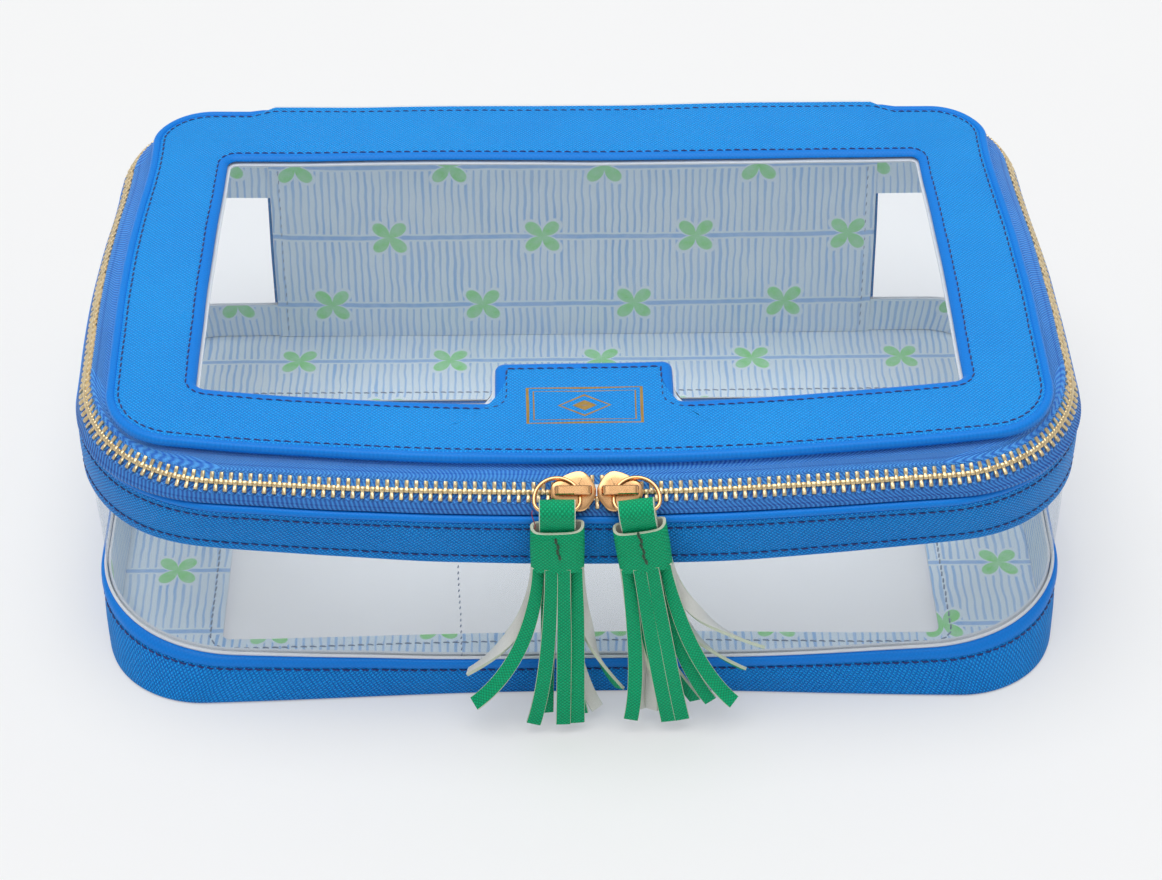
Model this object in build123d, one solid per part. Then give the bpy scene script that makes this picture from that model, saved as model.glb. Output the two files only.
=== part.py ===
"""A soft clear case for a tile game, in millimetres, +Z up.

A clear wall stands between two leather bands. The base and the lid are leather frames round clear windows, with
stiffening boards and printed linings inside. A metal zip with two sliders runs from one end of the back panel
round the front to the other, and a leather tassel hangs on each slider's ring.

The origin is on the underside, below the middle of the overall box. Everything is drawn about the case's own
middle first, and moved onto that origin when it is written.
"""

import os
from dataclasses import dataclass, replace
from math import atan2, cos, radians, sin, sqrt, tan

from build123d import *

# ---- materials and fits ----
LEATHER = 1.6
LID_LEATHER = 1.4
PVC = 0.6
TAPE = 0.6
BOARD = 0.6
LINING = 0.5
GLUE_GAP = 0.15
SEAT = 0.1

# ---- overall form: half widths, the front's middle, the back ----
BASE_HALF_WIDTH, BASE_FRONT, BASE_BACK = 145.5, -95.5, 85.0
TOP_HALF_WIDTH, TOP_FRONT, TOP_BACK = 150.6, -106.0, 91.0
LID_HALF_WIDTH, LID_FRONT, LID_BACK = 140.0, -95.0, 92.0
LOWER_BAND_HEIGHT = 14.5
CLEAR_HEIGHT = 43.5
UPPER_BAND_HEIGHT = 18.2
PIPING, PIPING_PROUD, PIPING_ROUNDING = 2.2, 0.4, 0.7
CHAIN_RISE = 5.0
LID_RISE = 5.2

# ---- how far the layers of the wall run behind the bands ----
WALL_TUCK_LOW, WALL_TUCK_HIGH = 8.0, 5.0
LINING_DROP = 0.6

# ---- windows ----
BASE_WINDOW_HALF_WIDTH, BASE_WINDOW_FRONT, BASE_WINDOW_BACK = 111.0, -72.0, 46.0
LID_WINDOW_HALF_WIDTH, LID_WINDOW_FRONT, LID_WINDOW_BACK = 113.2, -69.0, 60.0
WINDOW_CORNER = 3.0
WINDOW_OVERLAP = 7.0
TAB_WIDTH, TAB_DEPTH, TAB_OFFSET = 52.0, 19.0, 1.0
RIM = 2.6
RIM_ROUNDING = 0.8

# ---- back panel and hinge ----
PANEL_WIDTH = 208.0
PANEL_OVERLAP = 6.0
HINGE_RISE = 1.1
HINGE_CLEARANCE = 1.6
HINGE_GAP = 0.6
BACK_PADDING = 2.8
PADDING_DROP, BACK_LINING_DROP, BACK_LINING_MARGIN = 6.0, 3.0, 4.0

# ---- zip ----
PITCH = 2.8
TOOTH_ROOT = 2.9
TOOTH_TIP = 0.75
TOOTH_THICKNESS = 2.0
TOOTH_WIDTH = 1.24
TOOTH_HEAD = 0.7
STOP_TIP, STOP_THICKNESS, STOP_WIDTH = 0.1, 2.4, 1.0
CHAIN_OVERRUN = 1.0
TAPE_EDGE = 1.05
TAPE_FLAT = 4.2
TAPE_TUCK = 10.0
TAPE_BEND_GAP, TAPE_RIM_DEPTH = 0.2, 1.0
FRONT_SLOPE, SIDE_SLOPE, BACK_SLOPE = 44.0, 84.0, 84.0
MEETING = 4.0
SPREAD = 1.9
SPREAD_FULL, SPREAD_END = 5.5, 12.5

# ---- sliders and rings ----
SLIDER_LENGTH = 13.0
SLIDER_GAP = 0.3
PLATE = 1.2
BACK_PLATE = 1.0
RUNNING_GAP = 0.3
FLANGE = 0.7
TAPE_SLOT = 1.1
SHOULDER_X, NOSE_SHARE, PLATE_CORNER = -1.5, 0.7, 1.6
WEDGE_HALF_WIDTH, WEDGE_LENGTH, WEDGE_POINT, WEDGE_MIDDLE = 0.75, 3.3, 0.75, -2.55
BRIDGE_LENGTH, BRIDGE_WIDTH, BRIDGE_BAR, BRIDGE_HOLE = 10.6, 2.6, 1.3, 2.95
BRIDGE_ROUNDING = 0.6
RING_LENGTH, RING_HEIGHT, RING_WIRE, RING_CORNER = 14.3, 11.3, 1.2, 3.0
RING_TILT = 16.5
RING_SHIFT, RING_DROP = 4.6, 1.1

# ---- tassels ----
HANG = -1.1
STRAP_WIDTH, STRAP_THICKNESS, STRAP_FOLD = 10.3, 1.2, 2.0
STRAP_HALF_GAP, LOOP_SHIFT, LOOP_FOOT = 0.3, 0.45, -1.2
HEAD_WIDTH, HEAD_THICKNESS, HEAD_WALL, HEAD_HEIGHT = 15.3, 6.2, 1.3, 15.0
HEAD_DROP = 4.6
STRAP_TUCK = 11.0
STRAND_WIDTH, STRAND_PITCH = 3.5, 3.75
KNEE_OUT, KNEE_DOWN = 0.12, 0.6
RIGHT_LEAN = 8.0


@dataclass(frozen=True)
class Outline:
    """A rounded rectangle at one height, whose front is an arc that bows out by `bow` over the half width."""

    z: float
    half_width: float
    front: float
    back: float
    front_radius: float
    back_radius: float
    bow: float

    @property
    def bow_radius(self):
        return (self.half_width**2 + self.bow**2) / (2 * self.bow)

    def with_bow_radius(self, radius):
        rise = sqrt(radius**2 - self.half_width**2)
        return replace(self, bow=radius - rise if radius > 0 else radius + rise)

    def inset(self, d):
        """The same outline, d further in, with its arcs on the same centres."""
        smaller = replace(
            self,
            half_width=self.half_width - d,
            front=self.front + d,
            back=self.back - d,
            front_radius=self.front_radius - d,
            back_radius=self.back_radius - d,
        )
        return smaller.with_bow_radius(self.bow_radius - d)

    def at(self, z):
        return replace(self, z=z)


def between(low, high, z):
    """The outline at height z on the ruled surface from one outline to another."""
    t = (z - low.z) / (high.z - low.z)
    return Outline(**{key: a + t * (getattr(high, key) - a) for key, a in vars(low).items()})


def outline_edges(o):
    """Eight edges: the front arc, then round by the right side and the back."""
    r, rb = o.front_radius, o.back_radius
    out = 1 if o.bow > 0 else -1
    middle = o.front + o.bow_radius
    reach = o.bow_radius - r
    cx = o.half_width - r
    cy = middle - out * sqrt(reach**2 - cx**2)
    k = o.bow_radius / reach
    mx, my = cx * k, middle + (cy - middle) * k
    turn = atan2(my - cy, mx - cx) / 2
    ex, ey = cx + r * cos(turn), cy + r * sin(turn)
    bx, by = o.half_width - rb, o.back - rb
    fx, fy = bx + rb * sqrt(0.5), by + rb * sqrt(0.5)

    def point(x, y):
        return Vector(x, y, o.z)

    return [
        ThreePointArc(point(-mx, my), point(0, o.front), point(mx, my)),
        ThreePointArc(point(mx, my), point(ex, ey), point(o.half_width, cy)),
        Line(point(o.half_width, cy), point(o.half_width, by)),
        ThreePointArc(point(o.half_width, by), point(fx, fy), point(bx, o.back)),
        Line(point(bx, o.back), point(-bx, o.back)),
        ThreePointArc(point(-bx, o.back), point(-fx, fy), point(-o.half_width, by)),
        Line(point(-o.half_width, by), point(-o.half_width, cy)),
        ThreePointArc(point(-o.half_width, cy), point(-ex, ey), point(-mx, my)),
    ]


def loft_through(outlines):
    return Solid.make_loft([Wire(outline_edges(o)) for o in outlines], ruled=True)


def wall(outlines, depth, thickness):
    """A closed band through the outlines, from `depth` inside them inwards."""
    outer = loft_through([o.inset(depth) for o in outlines])
    return outer - loft_through([o.inset(depth + thickness) for o in outlines])


def open_at_back(solid, half_width):
    """The solid without what lies behind the middle, between -half_width and half_width."""
    depth = TOP_BACK
    return solid - Pos(0, depth, 0) * Box(2 * half_width, depth, 4 * LID_BACK)


# ---- the outlines at each height ----
BAND_TOP_Z = LOWER_BAND_HEIGHT
BELT_Z = BAND_TOP_Z + CLEAR_HEIGHT
SHOULDER_Z = BELT_Z + UPPER_BAND_HEIGHT
PIPING_TOP_Z = SHOULDER_Z + PIPING
CHAIN_Z = PIPING_TOP_Z + CHAIN_RISE
LID_BOTTOM_Z = CHAIN_Z + LID_RISE
LID_LINING_TOP_Z = LID_BOTTOM_Z + LINING
LID_LAYER_Z = LID_LINING_TOP_Z + SEAT
LID_LEATHER_Z = LID_LAYER_Z + max(BOARD, PVC) + SEAT
LID_TOP_Z = LID_LEATHER_Z + LID_LEATHER
BASE_LAYER_Z = LEATHER + SEAT
BASE_LINING_Z = BASE_LAYER_Z + max(BOARD, PVC) + SEAT
FLOOR_Z = BASE_LINING_Z + LINING

# Each: height, half width, front, back, front corner radius, back corner radius, bow.
BASE = Outline(0, BASE_HALF_WIDTH, BASE_FRONT, BASE_BACK, 31, 24, -2.5)
BAND_TOP = Outline(BAND_TOP_Z, BASE_HALF_WIDTH + 4, BASE_FRONT - 1.5, BASE_BACK + 1, 48, 26, 7)
BELT = Outline(BELT_Z, TOP_HALF_WIDTH - 0.4, TOP_FRONT + 3.3, TOP_BACK - 1.5, 46, 28, 16)
SHOULDER = Outline(SHOULDER_Z, TOP_HALF_WIDTH, TOP_FRONT, TOP_BACK, 53, 30, 12.5)
CHAIN = Outline(CHAIN_Z, TOP_HALF_WIDTH - 3.5, TOP_FRONT + 5.2, TOP_BACK - 1, 46, 28, 11.5)
LID = Outline(LID_BOTTOM_Z, LID_HALF_WIDTH, LID_FRONT, LID_BACK, 24, 20, 13.5)

# ---- the inner faces, from the outside in ----
LAYER_DEPTH = LEATHER + GLUE_GAP
LINING_DEPTH = LAYER_DEPTH + max(PVC, TAPE) + GLUE_GAP
BACK_LINING_DEPTH = LINING_DEPTH + LINING + GLUE_GAP
HALF_PANEL = PANEL_WIDTH / 2
BACK_OPENING = HALF_PANEL - PANEL_OVERLAP
HINGE_Z = CHAIN_Z + HINGE_RISE


def level(z):
    """The body's outline at height z."""
    stations = [BASE, BAND_TOP, BELT, SHOULDER]
    for low, high in zip(stations, stations[1:]):
        if z <= high.z:
            break
    return between(low, high, z)


# ---- bands, wall and linings ----
def band(low_z, high_z, depth, thickness):
    """A strip of the body's wall, open where the back panel stands."""
    inside = [o.z for o in (BAND_TOP, BELT) if low_z < o.z < high_z]
    stations = [level(z) for z in [low_z, *inside, high_z]]
    return open_at_back(wall(stations, depth, thickness), BACK_OPENING)


def shoulder_piping():
    """The turned edge on top of the upper band, a little proud of it."""
    proud = SHOULDER.inset(-PIPING_PROUD)
    low, high = SHOULDER_Z + PIPING_PROUD, PIPING_TOP_Z - PIPING_ROUNDING
    top = SHOULDER.inset(PIPING_ROUNDING - PIPING_PROUD).at(PIPING_TOP_Z)
    outer = loft_through([SHOULDER, proud.at(low), proud.at(high), top])
    inner = loft_through([SHOULDER.inset(LEATHER), SHOULDER.inset(LEATHER).at(PIPING_TOP_Z)])
    return open_at_back(outer - inner, HALF_PANEL + SEAT)


# ---- base ----
def base_opening(grow=0.0):
    width = 2 * (BASE_WINDOW_HALF_WIDTH + grow)
    depth = BASE_WINDOW_BACK - BASE_WINDOW_FRONT + 2 * grow
    middle = (BASE_WINDOW_BACK + BASE_WINDOW_FRONT) / 2
    return Pos(0, middle, 0) * RectangleRounded(width, depth, WINDOW_CORNER + grow)


def base_plate(low_z, thickness, opening):
    """A plate that fills the lower band from low_z up, with an opening cut through."""
    outlines = [level(z).inset(LAYER_DEPTH) for z in (low_z, low_z + thickness)]
    return loft_through(outlines) - extrude(opening, 2 * FLOOR_Z)


# ---- lid ----
def lid_opening(grow=0.0):
    """The lid window's outline without its tab: the front edge follows the lid's own bow."""
    half, back = LID_WINDOW_HALF_WIDTH + grow, LID_WINDOW_BACK + grow
    front = LID_WINDOW_FRONT - grow
    radius = LID.bow_radius + (LID_FRONT - front)
    side = front + radius - sqrt(radius**2 - half**2)
    edges = [
        ThreePointArc((-half, side), (0, front), (half, side)),
        Line((half, side), (half, back)),
        Line((half, back), (-half, back)),
        Line((-half, back), (-half, side)),
    ]
    return make_face(edges)


def lid_window_opening():
    tab_back = LID_WINDOW_FRONT + TAB_DEPTH
    tab = Pos(TAB_OFFSET, tab_back - TAB_DEPTH) * Rectangle(TAB_WIDTH, 2 * TAB_DEPTH)
    opening = lid_opening() - tab
    return fillet(opening.vertices(), WINDOW_CORNER)


def lid_sheet(z, thickness, depth, opening):
    face = make_face(outline_edges(LID.inset(depth).at(z)))
    cut = extrude(Pos(0, 0, LID_BOTTOM_Z - LID_RISE) * opening, 3 * LID_RISE)
    return extrude(face, thickness) - cut


def lid_rim():
    """The rounded binding round the lid's edge."""
    steps = [
        (LID_BOTTOM_Z, RIM_ROUNDING),
        (LID_BOTTOM_Z + RIM_ROUNDING, 0),
        (LID_TOP_Z - RIM_ROUNDING, 0),
        (LID_TOP_Z, RIM_ROUNDING),
    ]
    outer = loft_through([LID.inset(depth).at(z) for z, depth in steps])
    inner = loft_through([LID.inset(RIM).at(LID_BOTTOM_Z), LID.inset(RIM).at(LID_TOP_Z)])
    return outer - inner


# ---- back panel and hinge ----
def back_slab(near, far, low_z, high_z, width):
    """A slab across the back that leans as the back does, from `near` to `far` outside its surface."""
    heights = [low_z, *[z for z in (BAND_TOP_Z, BELT_Z, SHOULDER_Z) if low_z < z < high_z], high_z]

    def back(z):
        if z <= SHOULDER_Z:
            return level(z).back
        return TOP_BACK + (LID_BACK - TOP_BACK) * (z - SHOULDER_Z) / (HINGE_Z - SHOULDER_Z)

    up = [(back(z) + near, z) for z in heights]
    down = [(back(z) + far, z) for z in reversed(heights)]
    profile = Plane.YZ * make_face(Polyline(*up, *down, close=True))
    return extrude(profile, width / 2, both=True)


def back_padding():
    low, high = FLOOR_Z + SEAT, HINGE_Z - PADDING_DROP
    return back_slab(-SEAT - BACK_PADDING, -SEAT, low, high, 2 * BACK_OPENING - 1)


def back_lining():
    low, high, near = FLOOR_Z + SEAT, HINGE_Z - BACK_LINING_DROP, -BACK_LINING_DEPTH
    return back_slab(near - LINING, near, low, high, PANEL_WIDTH - 2 * BACK_LINING_MARGIN)


def hinge_strip():
    low = HINGE_Z + HINGE_CLEARANCE
    middle = LID_BACK + GLUE_GAP + LEATHER / 2
    return Pos(0, middle, (low + LID_TOP_Z) / 2) * Box(PANEL_WIDTH, LEATHER, LID_TOP_Z - low)


# ---- zip ----
FRONT_RUN, SIDE_RUN, BACK_RUN = (1 / tan(radians(slope)) for slope in (FRONT_SLOPE, SIDE_SLOPE, BACK_SLOPE))


def chain_level(rise):
    """The outline on the chain's slope, `rise` above the chain's middle."""
    higher = replace(
        CHAIN,
        z=CHAIN_Z + rise,
        half_width=CHAIN.half_width - rise * SIDE_RUN,
        front=CHAIN.front + rise * FRONT_RUN,
        back=CHAIN.back - rise * BACK_RUN,
    )
    return higher.with_bow_radius(CHAIN.bow_radius - rise * FRONT_RUN)


def room_at_sliders(tape):
    """The tape, cut back where the rows part into the two sliders."""
    width, height = 2 * SPREAD_END + 1, 2 * (TOOTH_ROOT + RUNNING_GAP) * sin(radians(FRONT_SLOPE))
    return tape - Pos(MEETING, CHAIN.front, CHAIN_Z) * Box(width, 4 * TOOTH_ROOT, height)


def lower_tape():
    """From inside the upper band, over its top and up to the lower teeth."""
    tuck = SHOULDER.inset(LAYER_DEPTH + TAPE / 2)
    foot = level(SHOULDER_Z - TAPE_TUCK).inset(LAYER_DEPTH + TAPE / 2)
    stations = [foot, tuck, tuck.at(PIPING_TOP_Z + SEAT), chain_level(-TAPE_FLAT), chain_level(-TAPE_EDGE)]
    return room_at_sliders(open_at_back(wall(stations, -TAPE / 2, TAPE), BACK_OPENING))


def upper_tape():
    """From the upper teeth to the underside of the lid's rim, bending inwards above the teeth."""
    edge, bend, top = chain_level(TAPE_EDGE), chain_level(TOOTH_ROOT + TAPE_BEND_GAP), LID.inset(TAPE_RIM_DEPTH)
    half = TAPE / 2
    outer = loft_through([edge.inset(-half), bend.inset(-half), top])
    inner = loft_through([edge.inset(half), bend.inset(half).at(bend.z - half), top.inset(3 * half)])
    return room_at_sliders(open_at_back(outer - inner, BACK_OPENING))


def half_chain():
    """The chain's middle line from the front's middle round to the right end of the back panel."""
    front, corner, side, back_corner, back = outline_edges(CHAIN)[:5]
    start = back @ 0
    end = Vector(HALF_PANEL + CHAIN_OVERRUN, start.Y, start.Z)
    return Wire([front.trim(0.5, 1), corner, side, back_corner, Line(start, end)])


HALF_CHAIN = half_chain()


def chain_plane(s):
    """The plane of the chain at s along it from the front's middle: x along it, y up the tape, z outwards."""
    at = HALF_CHAIN.position_at(abs(s), PositionMode.LENGTH)
    along = HALF_CHAIN.tangent_at(abs(s), PositionMode.LENGTH)
    if s < 0:
        at, along = Vector(-at.X, at.Y, at.Z), Vector(along.X, -along.Y, 0)
    outward = Vector(along.Y, -along.X, 0)
    end_run = FRONT_RUN if outward.Y < 0 else BACK_RUN
    run = SIDE_RUN * abs(outward.X) + end_run * abs(outward.Y)
    up = outward * -run + Vector(0, 0, 1)
    return Plane(origin=at, x_dir=along, z_dir=along.cross(up))


def spread(s):
    """How far the rows part on their way into the sliders, s along the chain."""
    t = (SPREAD_END - abs(s - MEETING)) / (SPREAD_END - SPREAD_FULL)
    t = min(1, max(0, t))
    return SPREAD * t * t * (3 - 2 * t)


def clamp(tip, root, thickness, width):
    """A tooth or a stop, root up: a head across the tape's edge, and a leg up the tape's outer face."""
    head, face, front = TOOTH_HEAD, TAPE / 2 + SEAT, thickness / 2
    points = [(tip, -front), (tip, front), (root, front), (root, face), (head, face), (head, -front)]
    profile = Plane.YZ * make_face(Polyline(*points, close=True))
    return extrude(profile, width / 2, both=True)


def tooth_row(side):
    """The row of teeth on one tape: side 1 is the lid's, -1 the body's, half a pitch along."""
    count = int((HALF_CHAIN.length - PITCH) / PITCH)
    one = clamp(-TOOTH_TIP, TOOTH_ROOT, TOOTH_THICKNESS, TOOTH_WIDTH)
    places = [(i if side > 0 else i + 0.5) * PITCH for i in range(-count, count + (side > 0))]
    return [on_chain(one, s, side) for s in places]


def end_stops(side):
    """The crimped stop at each end of one row."""
    stop = clamp(STOP_TIP, TOOTH_ROOT, STOP_THICKNESS, STOP_WIDTH)
    end = HALF_CHAIN.length - STOP_WIDTH / 2
    return [on_chain(stop, s, side) for s in (-end, end)]


def on_chain(piece, s, side):
    turned = piece if side > 0 else mirror(piece, Plane.XZ)
    return chain_plane(s).location * Pos(0, side * spread(s), 0) * turned


# ---- sliders, drawn on the chain's plane with their tail towards +x ----
INNER_FACE = TOOTH_THICKNESS / 2 + RUNNING_GAP
PLATE_TOP = INNER_FACE + PLATE
MOUTH_HALF = TOOTH_ROOT + SPREAD + RUNNING_GAP + SEAT
TAIL_HALF = TOOTH_ROOT + RUNNING_GAP + SEAT
RING_TOP_REACH = (RING_HEIGHT - RING_WIRE) / 2
RING_RISE = PLATE_TOP + SEAT + RING_WIRE / 2 + RING_TOP_REACH * sin(radians(RING_TILT))


def plate_shape():
    half = SLIDER_LENGTH / 2
    tail, shoulder = TAIL_HALF + FLANGE, MOUTH_HALF + FLANGE
    right = [(half, -tail), (half, tail), (SHOULDER_X, shoulder), (-half, NOSE_SHARE * shoulder)]
    left = [(-half, -NOSE_SHARE * shoulder), (SHOULDER_X, -shoulder)]
    return fillet(make_face(Polyline(*right, *left, close=True)).vertices(), PLATE_CORNER)


def channel_shape():
    half = SLIDER_LENGTH
    slope = (MOUTH_HALF - TAIL_HALF) / (SLIDER_LENGTH / 2 - SHOULDER_X)
    tail = TAIL_HALF - slope * (half - SLIDER_LENGTH / 2)
    right = [(half, -tail), (half, tail), (SHOULDER_X, MOUTH_HALF), (-half, MOUTH_HALF)]
    return make_face(Polyline(*right, (-half, -MOUTH_HALF), (SHOULDER_X, -MOUTH_HALF), close=True))


def slider():
    """Two plates joined by the wedge that parts the rows, with flanges that leave a slot for the tapes."""
    plate, channel = plate_shape(), channel_shape()
    flange = extrude(plate - channel, INNER_FACE - TAPE_SLOT / 2)
    outer = Pos(0, 0, INNER_FACE) * extrude(plate, PLATE) + Pos(0, 0, TAPE_SLOT / 2) * flange
    inner = Pos(0, 0, -INNER_FACE - BACK_PLATE) * extrude(plate & channel, BACK_PLATE)
    end, side, h = WEDGE_LENGTH / 2, WEDGE_LENGTH / 2 - WEDGE_POINT, WEDGE_HALF_WIDTH
    wedge = make_face(Polyline((end, 0), (side, h), (-side, h), (-end, 0), (-side, -h), (side, -h), close=True))
    return outer + inner + Pos(WEDGE_MIDDLE, 0, 0) * extrude(wedge, INNER_FACE, both=True)


def bridge():
    """The arch on the slider that the ring hangs in."""
    half, top = BRIDGE_LENGTH / 2, PLATE_TOP + BRIDGE_HOLE + BRIDGE_BAR
    outer = [(-half, PLATE_TOP), (-half, top), (half, top), (half, PLATE_TOP)]
    foot = half - BRIDGE_BAR
    inner = [(foot, PLATE_TOP), (foot, top - BRIDGE_BAR), (-foot, top - BRIDGE_BAR), (-foot, PLATE_TOP)]
    face = make_face(Polyline(*outer, *inner, close=True))
    corners = face.vertices().filter_by(lambda v: abs(v.Y - PLATE_TOP) > SEAT)
    profile = Plane.XZ * fillet(corners, BRIDGE_ROUNDING)
    return extrude(profile, BRIDGE_WIDTH / 2, both=True)


def ring_plane():
    up = Vector(0, cos(radians(RING_TILT)), -sin(radians(RING_TILT)))
    along = Vector(1, 0, 0)
    return Plane(origin=(RING_SHIFT, -RING_DROP, RING_RISE), x_dir=along, z_dir=along.cross(up))


def ring():
    """A bent wire: a half circle above, and a flat foot with rounded corners that the strap hangs on."""
    a, b, r = (RING_LENGTH - RING_WIRE) / 2, RING_TOP_REACH, RING_CORNER
    k = r * (1 - sqrt(0.5))
    path = Wire(
        [
            ThreePointArc((a, b - a), (0, b), (-a, b - a)),
            Line((-a, b - a), (-a, r - b)),
            ThreePointArc((-a, r - b), (k - a, k - b), (r - a, -b)),
            Line((r - a, -b), (a - r, -b)),
            ThreePointArc((a - r, -b), (a - k, k - b), (a, r - b)),
            Line((a, r - b), (a, b - a)),
        ]
    )
    section = Plane(origin=(a, b - a, 0), z_dir=(0, 1, 0)) * Circle(RING_WIRE / 2)
    return ring_plane().location * sweep(section, path)


# ---- tassels, drawn about the middle of the ring's foot ----
HEAD_TOP = -HEAD_DROP
HEAD_BOTTOM = HEAD_TOP - HEAD_HEIGHT


def strap_shape(grow):
    """The folded strap's side view, `grow` outside its inner face: two legs that open into a loop."""
    y, z, leg, foot = -LOOP_SHIFT, LOOP_SHIFT, STRAP_HALF_GAP + grow, HEAD_TOP - STRAP_TUCK
    r = STRAP_FOLD + grow
    front = Polyline((y - r, z), (y - r, LOOP_FOOT), (HANG - leg, HEAD_TOP), (HANG - leg, foot))
    back = Polyline((HANG + leg, foot), (HANG + leg, HEAD_TOP), (y + r, LOOP_FOOT), (y + r, z))
    arch = ThreePointArc((y + r, z), (y, z + r), (y - r, z))
    return make_face([*front.edges(), Line(front @ 1, back @ 0), *back.edges(), arch])


def strap():
    side = strap_shape(STRAP_THICKNESS) - strap_shape(0)
    return extrude(Plane.YZ * side, STRAP_WIDTH / 2, both=True)


def head():
    outer = SlotOverall(HEAD_WIDTH, HEAD_THICKNESS)
    inner = SlotOverall(HEAD_WIDTH - 2 * HEAD_WALL, HEAD_THICKNESS - 2 * HEAD_WALL)
    return Pos(0, HANG, HEAD_BOTTOM) * extrude(outer - inner, HEAD_HEIGHT)


def strand(layer, place, end_x, end_z):
    """A strip of the fringe: it leaves the head straight down and curls towards its end."""
    x, z = place * STRAND_PITCH, HEAD_BOTTOM
    knee = (x + KNEE_OUT * (end_x - x), z + KNEE_DOWN * (end_z - z))
    run = Vector(end_x - knee[0], end_z - knee[1]).normalized()
    side = Vector(-run.Y, run.X) * (STRAND_WIDTH / 2)
    half = STRAND_WIDTH / 2
    left = Bezier((x - half, z), (knee[0] - half, knee[1]), (end_x - side.X, end_z - side.Y))
    right = Bezier((x + half, z), (knee[0] + half, knee[1]), (end_x + side.X, end_z + side.Y))
    face = make_face([left, Line(left @ 1, right @ 1), right, Line(right @ 0, left @ 0)])
    y = HANG + layer * (HEAD_THICKNESS - HEAD_WALL) / 2
    return extrude(Pos(0, y, 0) * (Plane.XZ * face), HEAD_WALL / 2, both=True)


# Each strand: its layer (-1 front, 0 middle, 1 back), its place across the head, and its end.
LEFT_STRANDS = [
    (-1, -1.5, -24.7, -71.0),
    (-1, -0.5, -7.4, -79.0),
    (-1, 0.5, 1.4, -79.0),
    (-1, 1.5, 5.6, -79.0),
    (0, -0.8, -3.4, -76.5),
    (0, 0.8, 7.0, -77.0),
    (1, -1.5, -26.5, -62.5),
    (1, -0.5, -4.5, -77.5),
    (1, 0.5, 11.5, -78.0),
    (1, 1.5, 18.3, -69.5),
]
RIGHT_STRANDS = [
    (-1, -1.5, -11.9, -76.5),
    (-1, -0.5, -1.0, -79.0),
    (-1, 0.5, 3.2, -79.0),
    (-1, 1.5, 18.9, -75.0),
    (0, -0.8, -5.4, -76.0),
    (0, 0.8, 12.1, -75.5),
    (1, -1.5, -7.9, -77.0),
    (1, -0.5, 7.6, -76.5),
    (1, 0.5, 23.1, -66.5),
    (1, 1.5, 29.6, -58.5),
]


# ---- putting the pieces where they lie ----
def slider_place(side):
    """The chain's plane at a slider's middle: side 1 is the right slider, -1 the left."""
    return chain_plane(MEETING + side * (SLIDER_LENGTH + SLIDER_GAP) / 2).location


def on_slider(piece, side):
    return slider_place(side) * (piece if side > 0 else mirror(piece, Plane.YZ))


def ring_bottom(side):
    low = (ring_plane().location * Pos(0, -RING_TOP_REACH, 0)).position
    return (slider_place(side) * Pos(side * low.X, low.Y, low.Z)).position


def on_ring(piece, side):
    lean = Rot(0, -RIGHT_LEAN, 0) if side > 0 else Rot(0, 0, 0)
    return Pos(ring_bottom(side)) * lean * piece


def sub_parts():
    """Every sub-part by name, as a solid or a list of solids."""
    parts = {
        "base_frame": base_plate(0, LEATHER, base_opening()),
        "base_board": base_plate(BASE_LAYER_Z, BOARD, base_opening(WINDOW_OVERLAP + 1)),
        "base_window": Pos(0, 0, BASE_LAYER_Z) * extrude(base_opening(WINDOW_OVERLAP), PVC),
        "base_lining": base_plate(BASE_LINING_Z, LINING, base_opening()),
        "lower_band": band(0, BAND_TOP_Z, 0, LEATHER),
        "lower_band_lining": band(FLOOR_Z + SEAT, BAND_TOP_Z - LINING_DROP, LINING_DEPTH, LINING),
        "clear_wall": band(BAND_TOP_Z - WALL_TUCK_LOW, BELT_Z + WALL_TUCK_HIGH, LAYER_DEPTH, PVC),
        "upper_band": band(BELT_Z, SHOULDER_Z, 0, LEATHER),
        "upper_band_lining": band(BELT_Z + LINING_DROP, SHOULDER_Z - 2 * LINING_DROP, LINING_DEPTH, LINING),
        "shoulder_piping": shoulder_piping(),
        "back_panel": back_slab(SEAT, SEAT + LEATHER, 0, HINGE_Z - HINGE_GAP, PANEL_WIDTH),
        "back_padding": back_padding(),
        "back_lining": back_lining(),
        "lower_zip_tape": lower_tape(),
        "lower_zip_teeth": tooth_row(-1),
        "lower_end_stops": end_stops(-1),
        "lid_frame": lid_sheet(LID_LEATHER_Z, LID_LEATHER, RIM + SEAT, lid_window_opening()),
        "lid_board": lid_sheet(LID_LAYER_Z, BOARD, RIM + SEAT, lid_opening(WINDOW_OVERLAP + 1)),
        "lid_window": Pos(0, 0, LID_LAYER_Z) * extrude(lid_opening(WINDOW_OVERLAP), PVC),
        "lid_lining": lid_sheet(LID_BOTTOM_Z, LINING, RIM + SEAT, lid_window_opening()),
        "lid_rim": lid_rim(),
        "hinge_strip": hinge_strip(),
        "upper_zip_tape": upper_tape(),
        "upper_zip_teeth": tooth_row(1),
        "upper_end_stops": end_stops(1),
    }
    for name, side, strands in (("left", -1, LEFT_STRANDS), ("right", 1, RIGHT_STRANDS)):
        parts[f"{name}_slider"] = on_slider(slider(), side)
        parts[f"{name}_bridge"] = on_slider(bridge(), side)
        parts[f"{name}_ring"] = on_slider(ring(), side)
        parts[f"{name}_tassel_strap"] = on_ring(strap(), side)
        parts[f"{name}_tassel_head"] = on_ring(head(), side)
        parts[f"{name}_tassel_strands"] = [on_ring(strand(*one), side) for one in strands]
    return parts


def solids_of(piece):
    return [solid for one in (piece if isinstance(piece, list) else [piece]) for solid in one.solids()]


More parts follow.
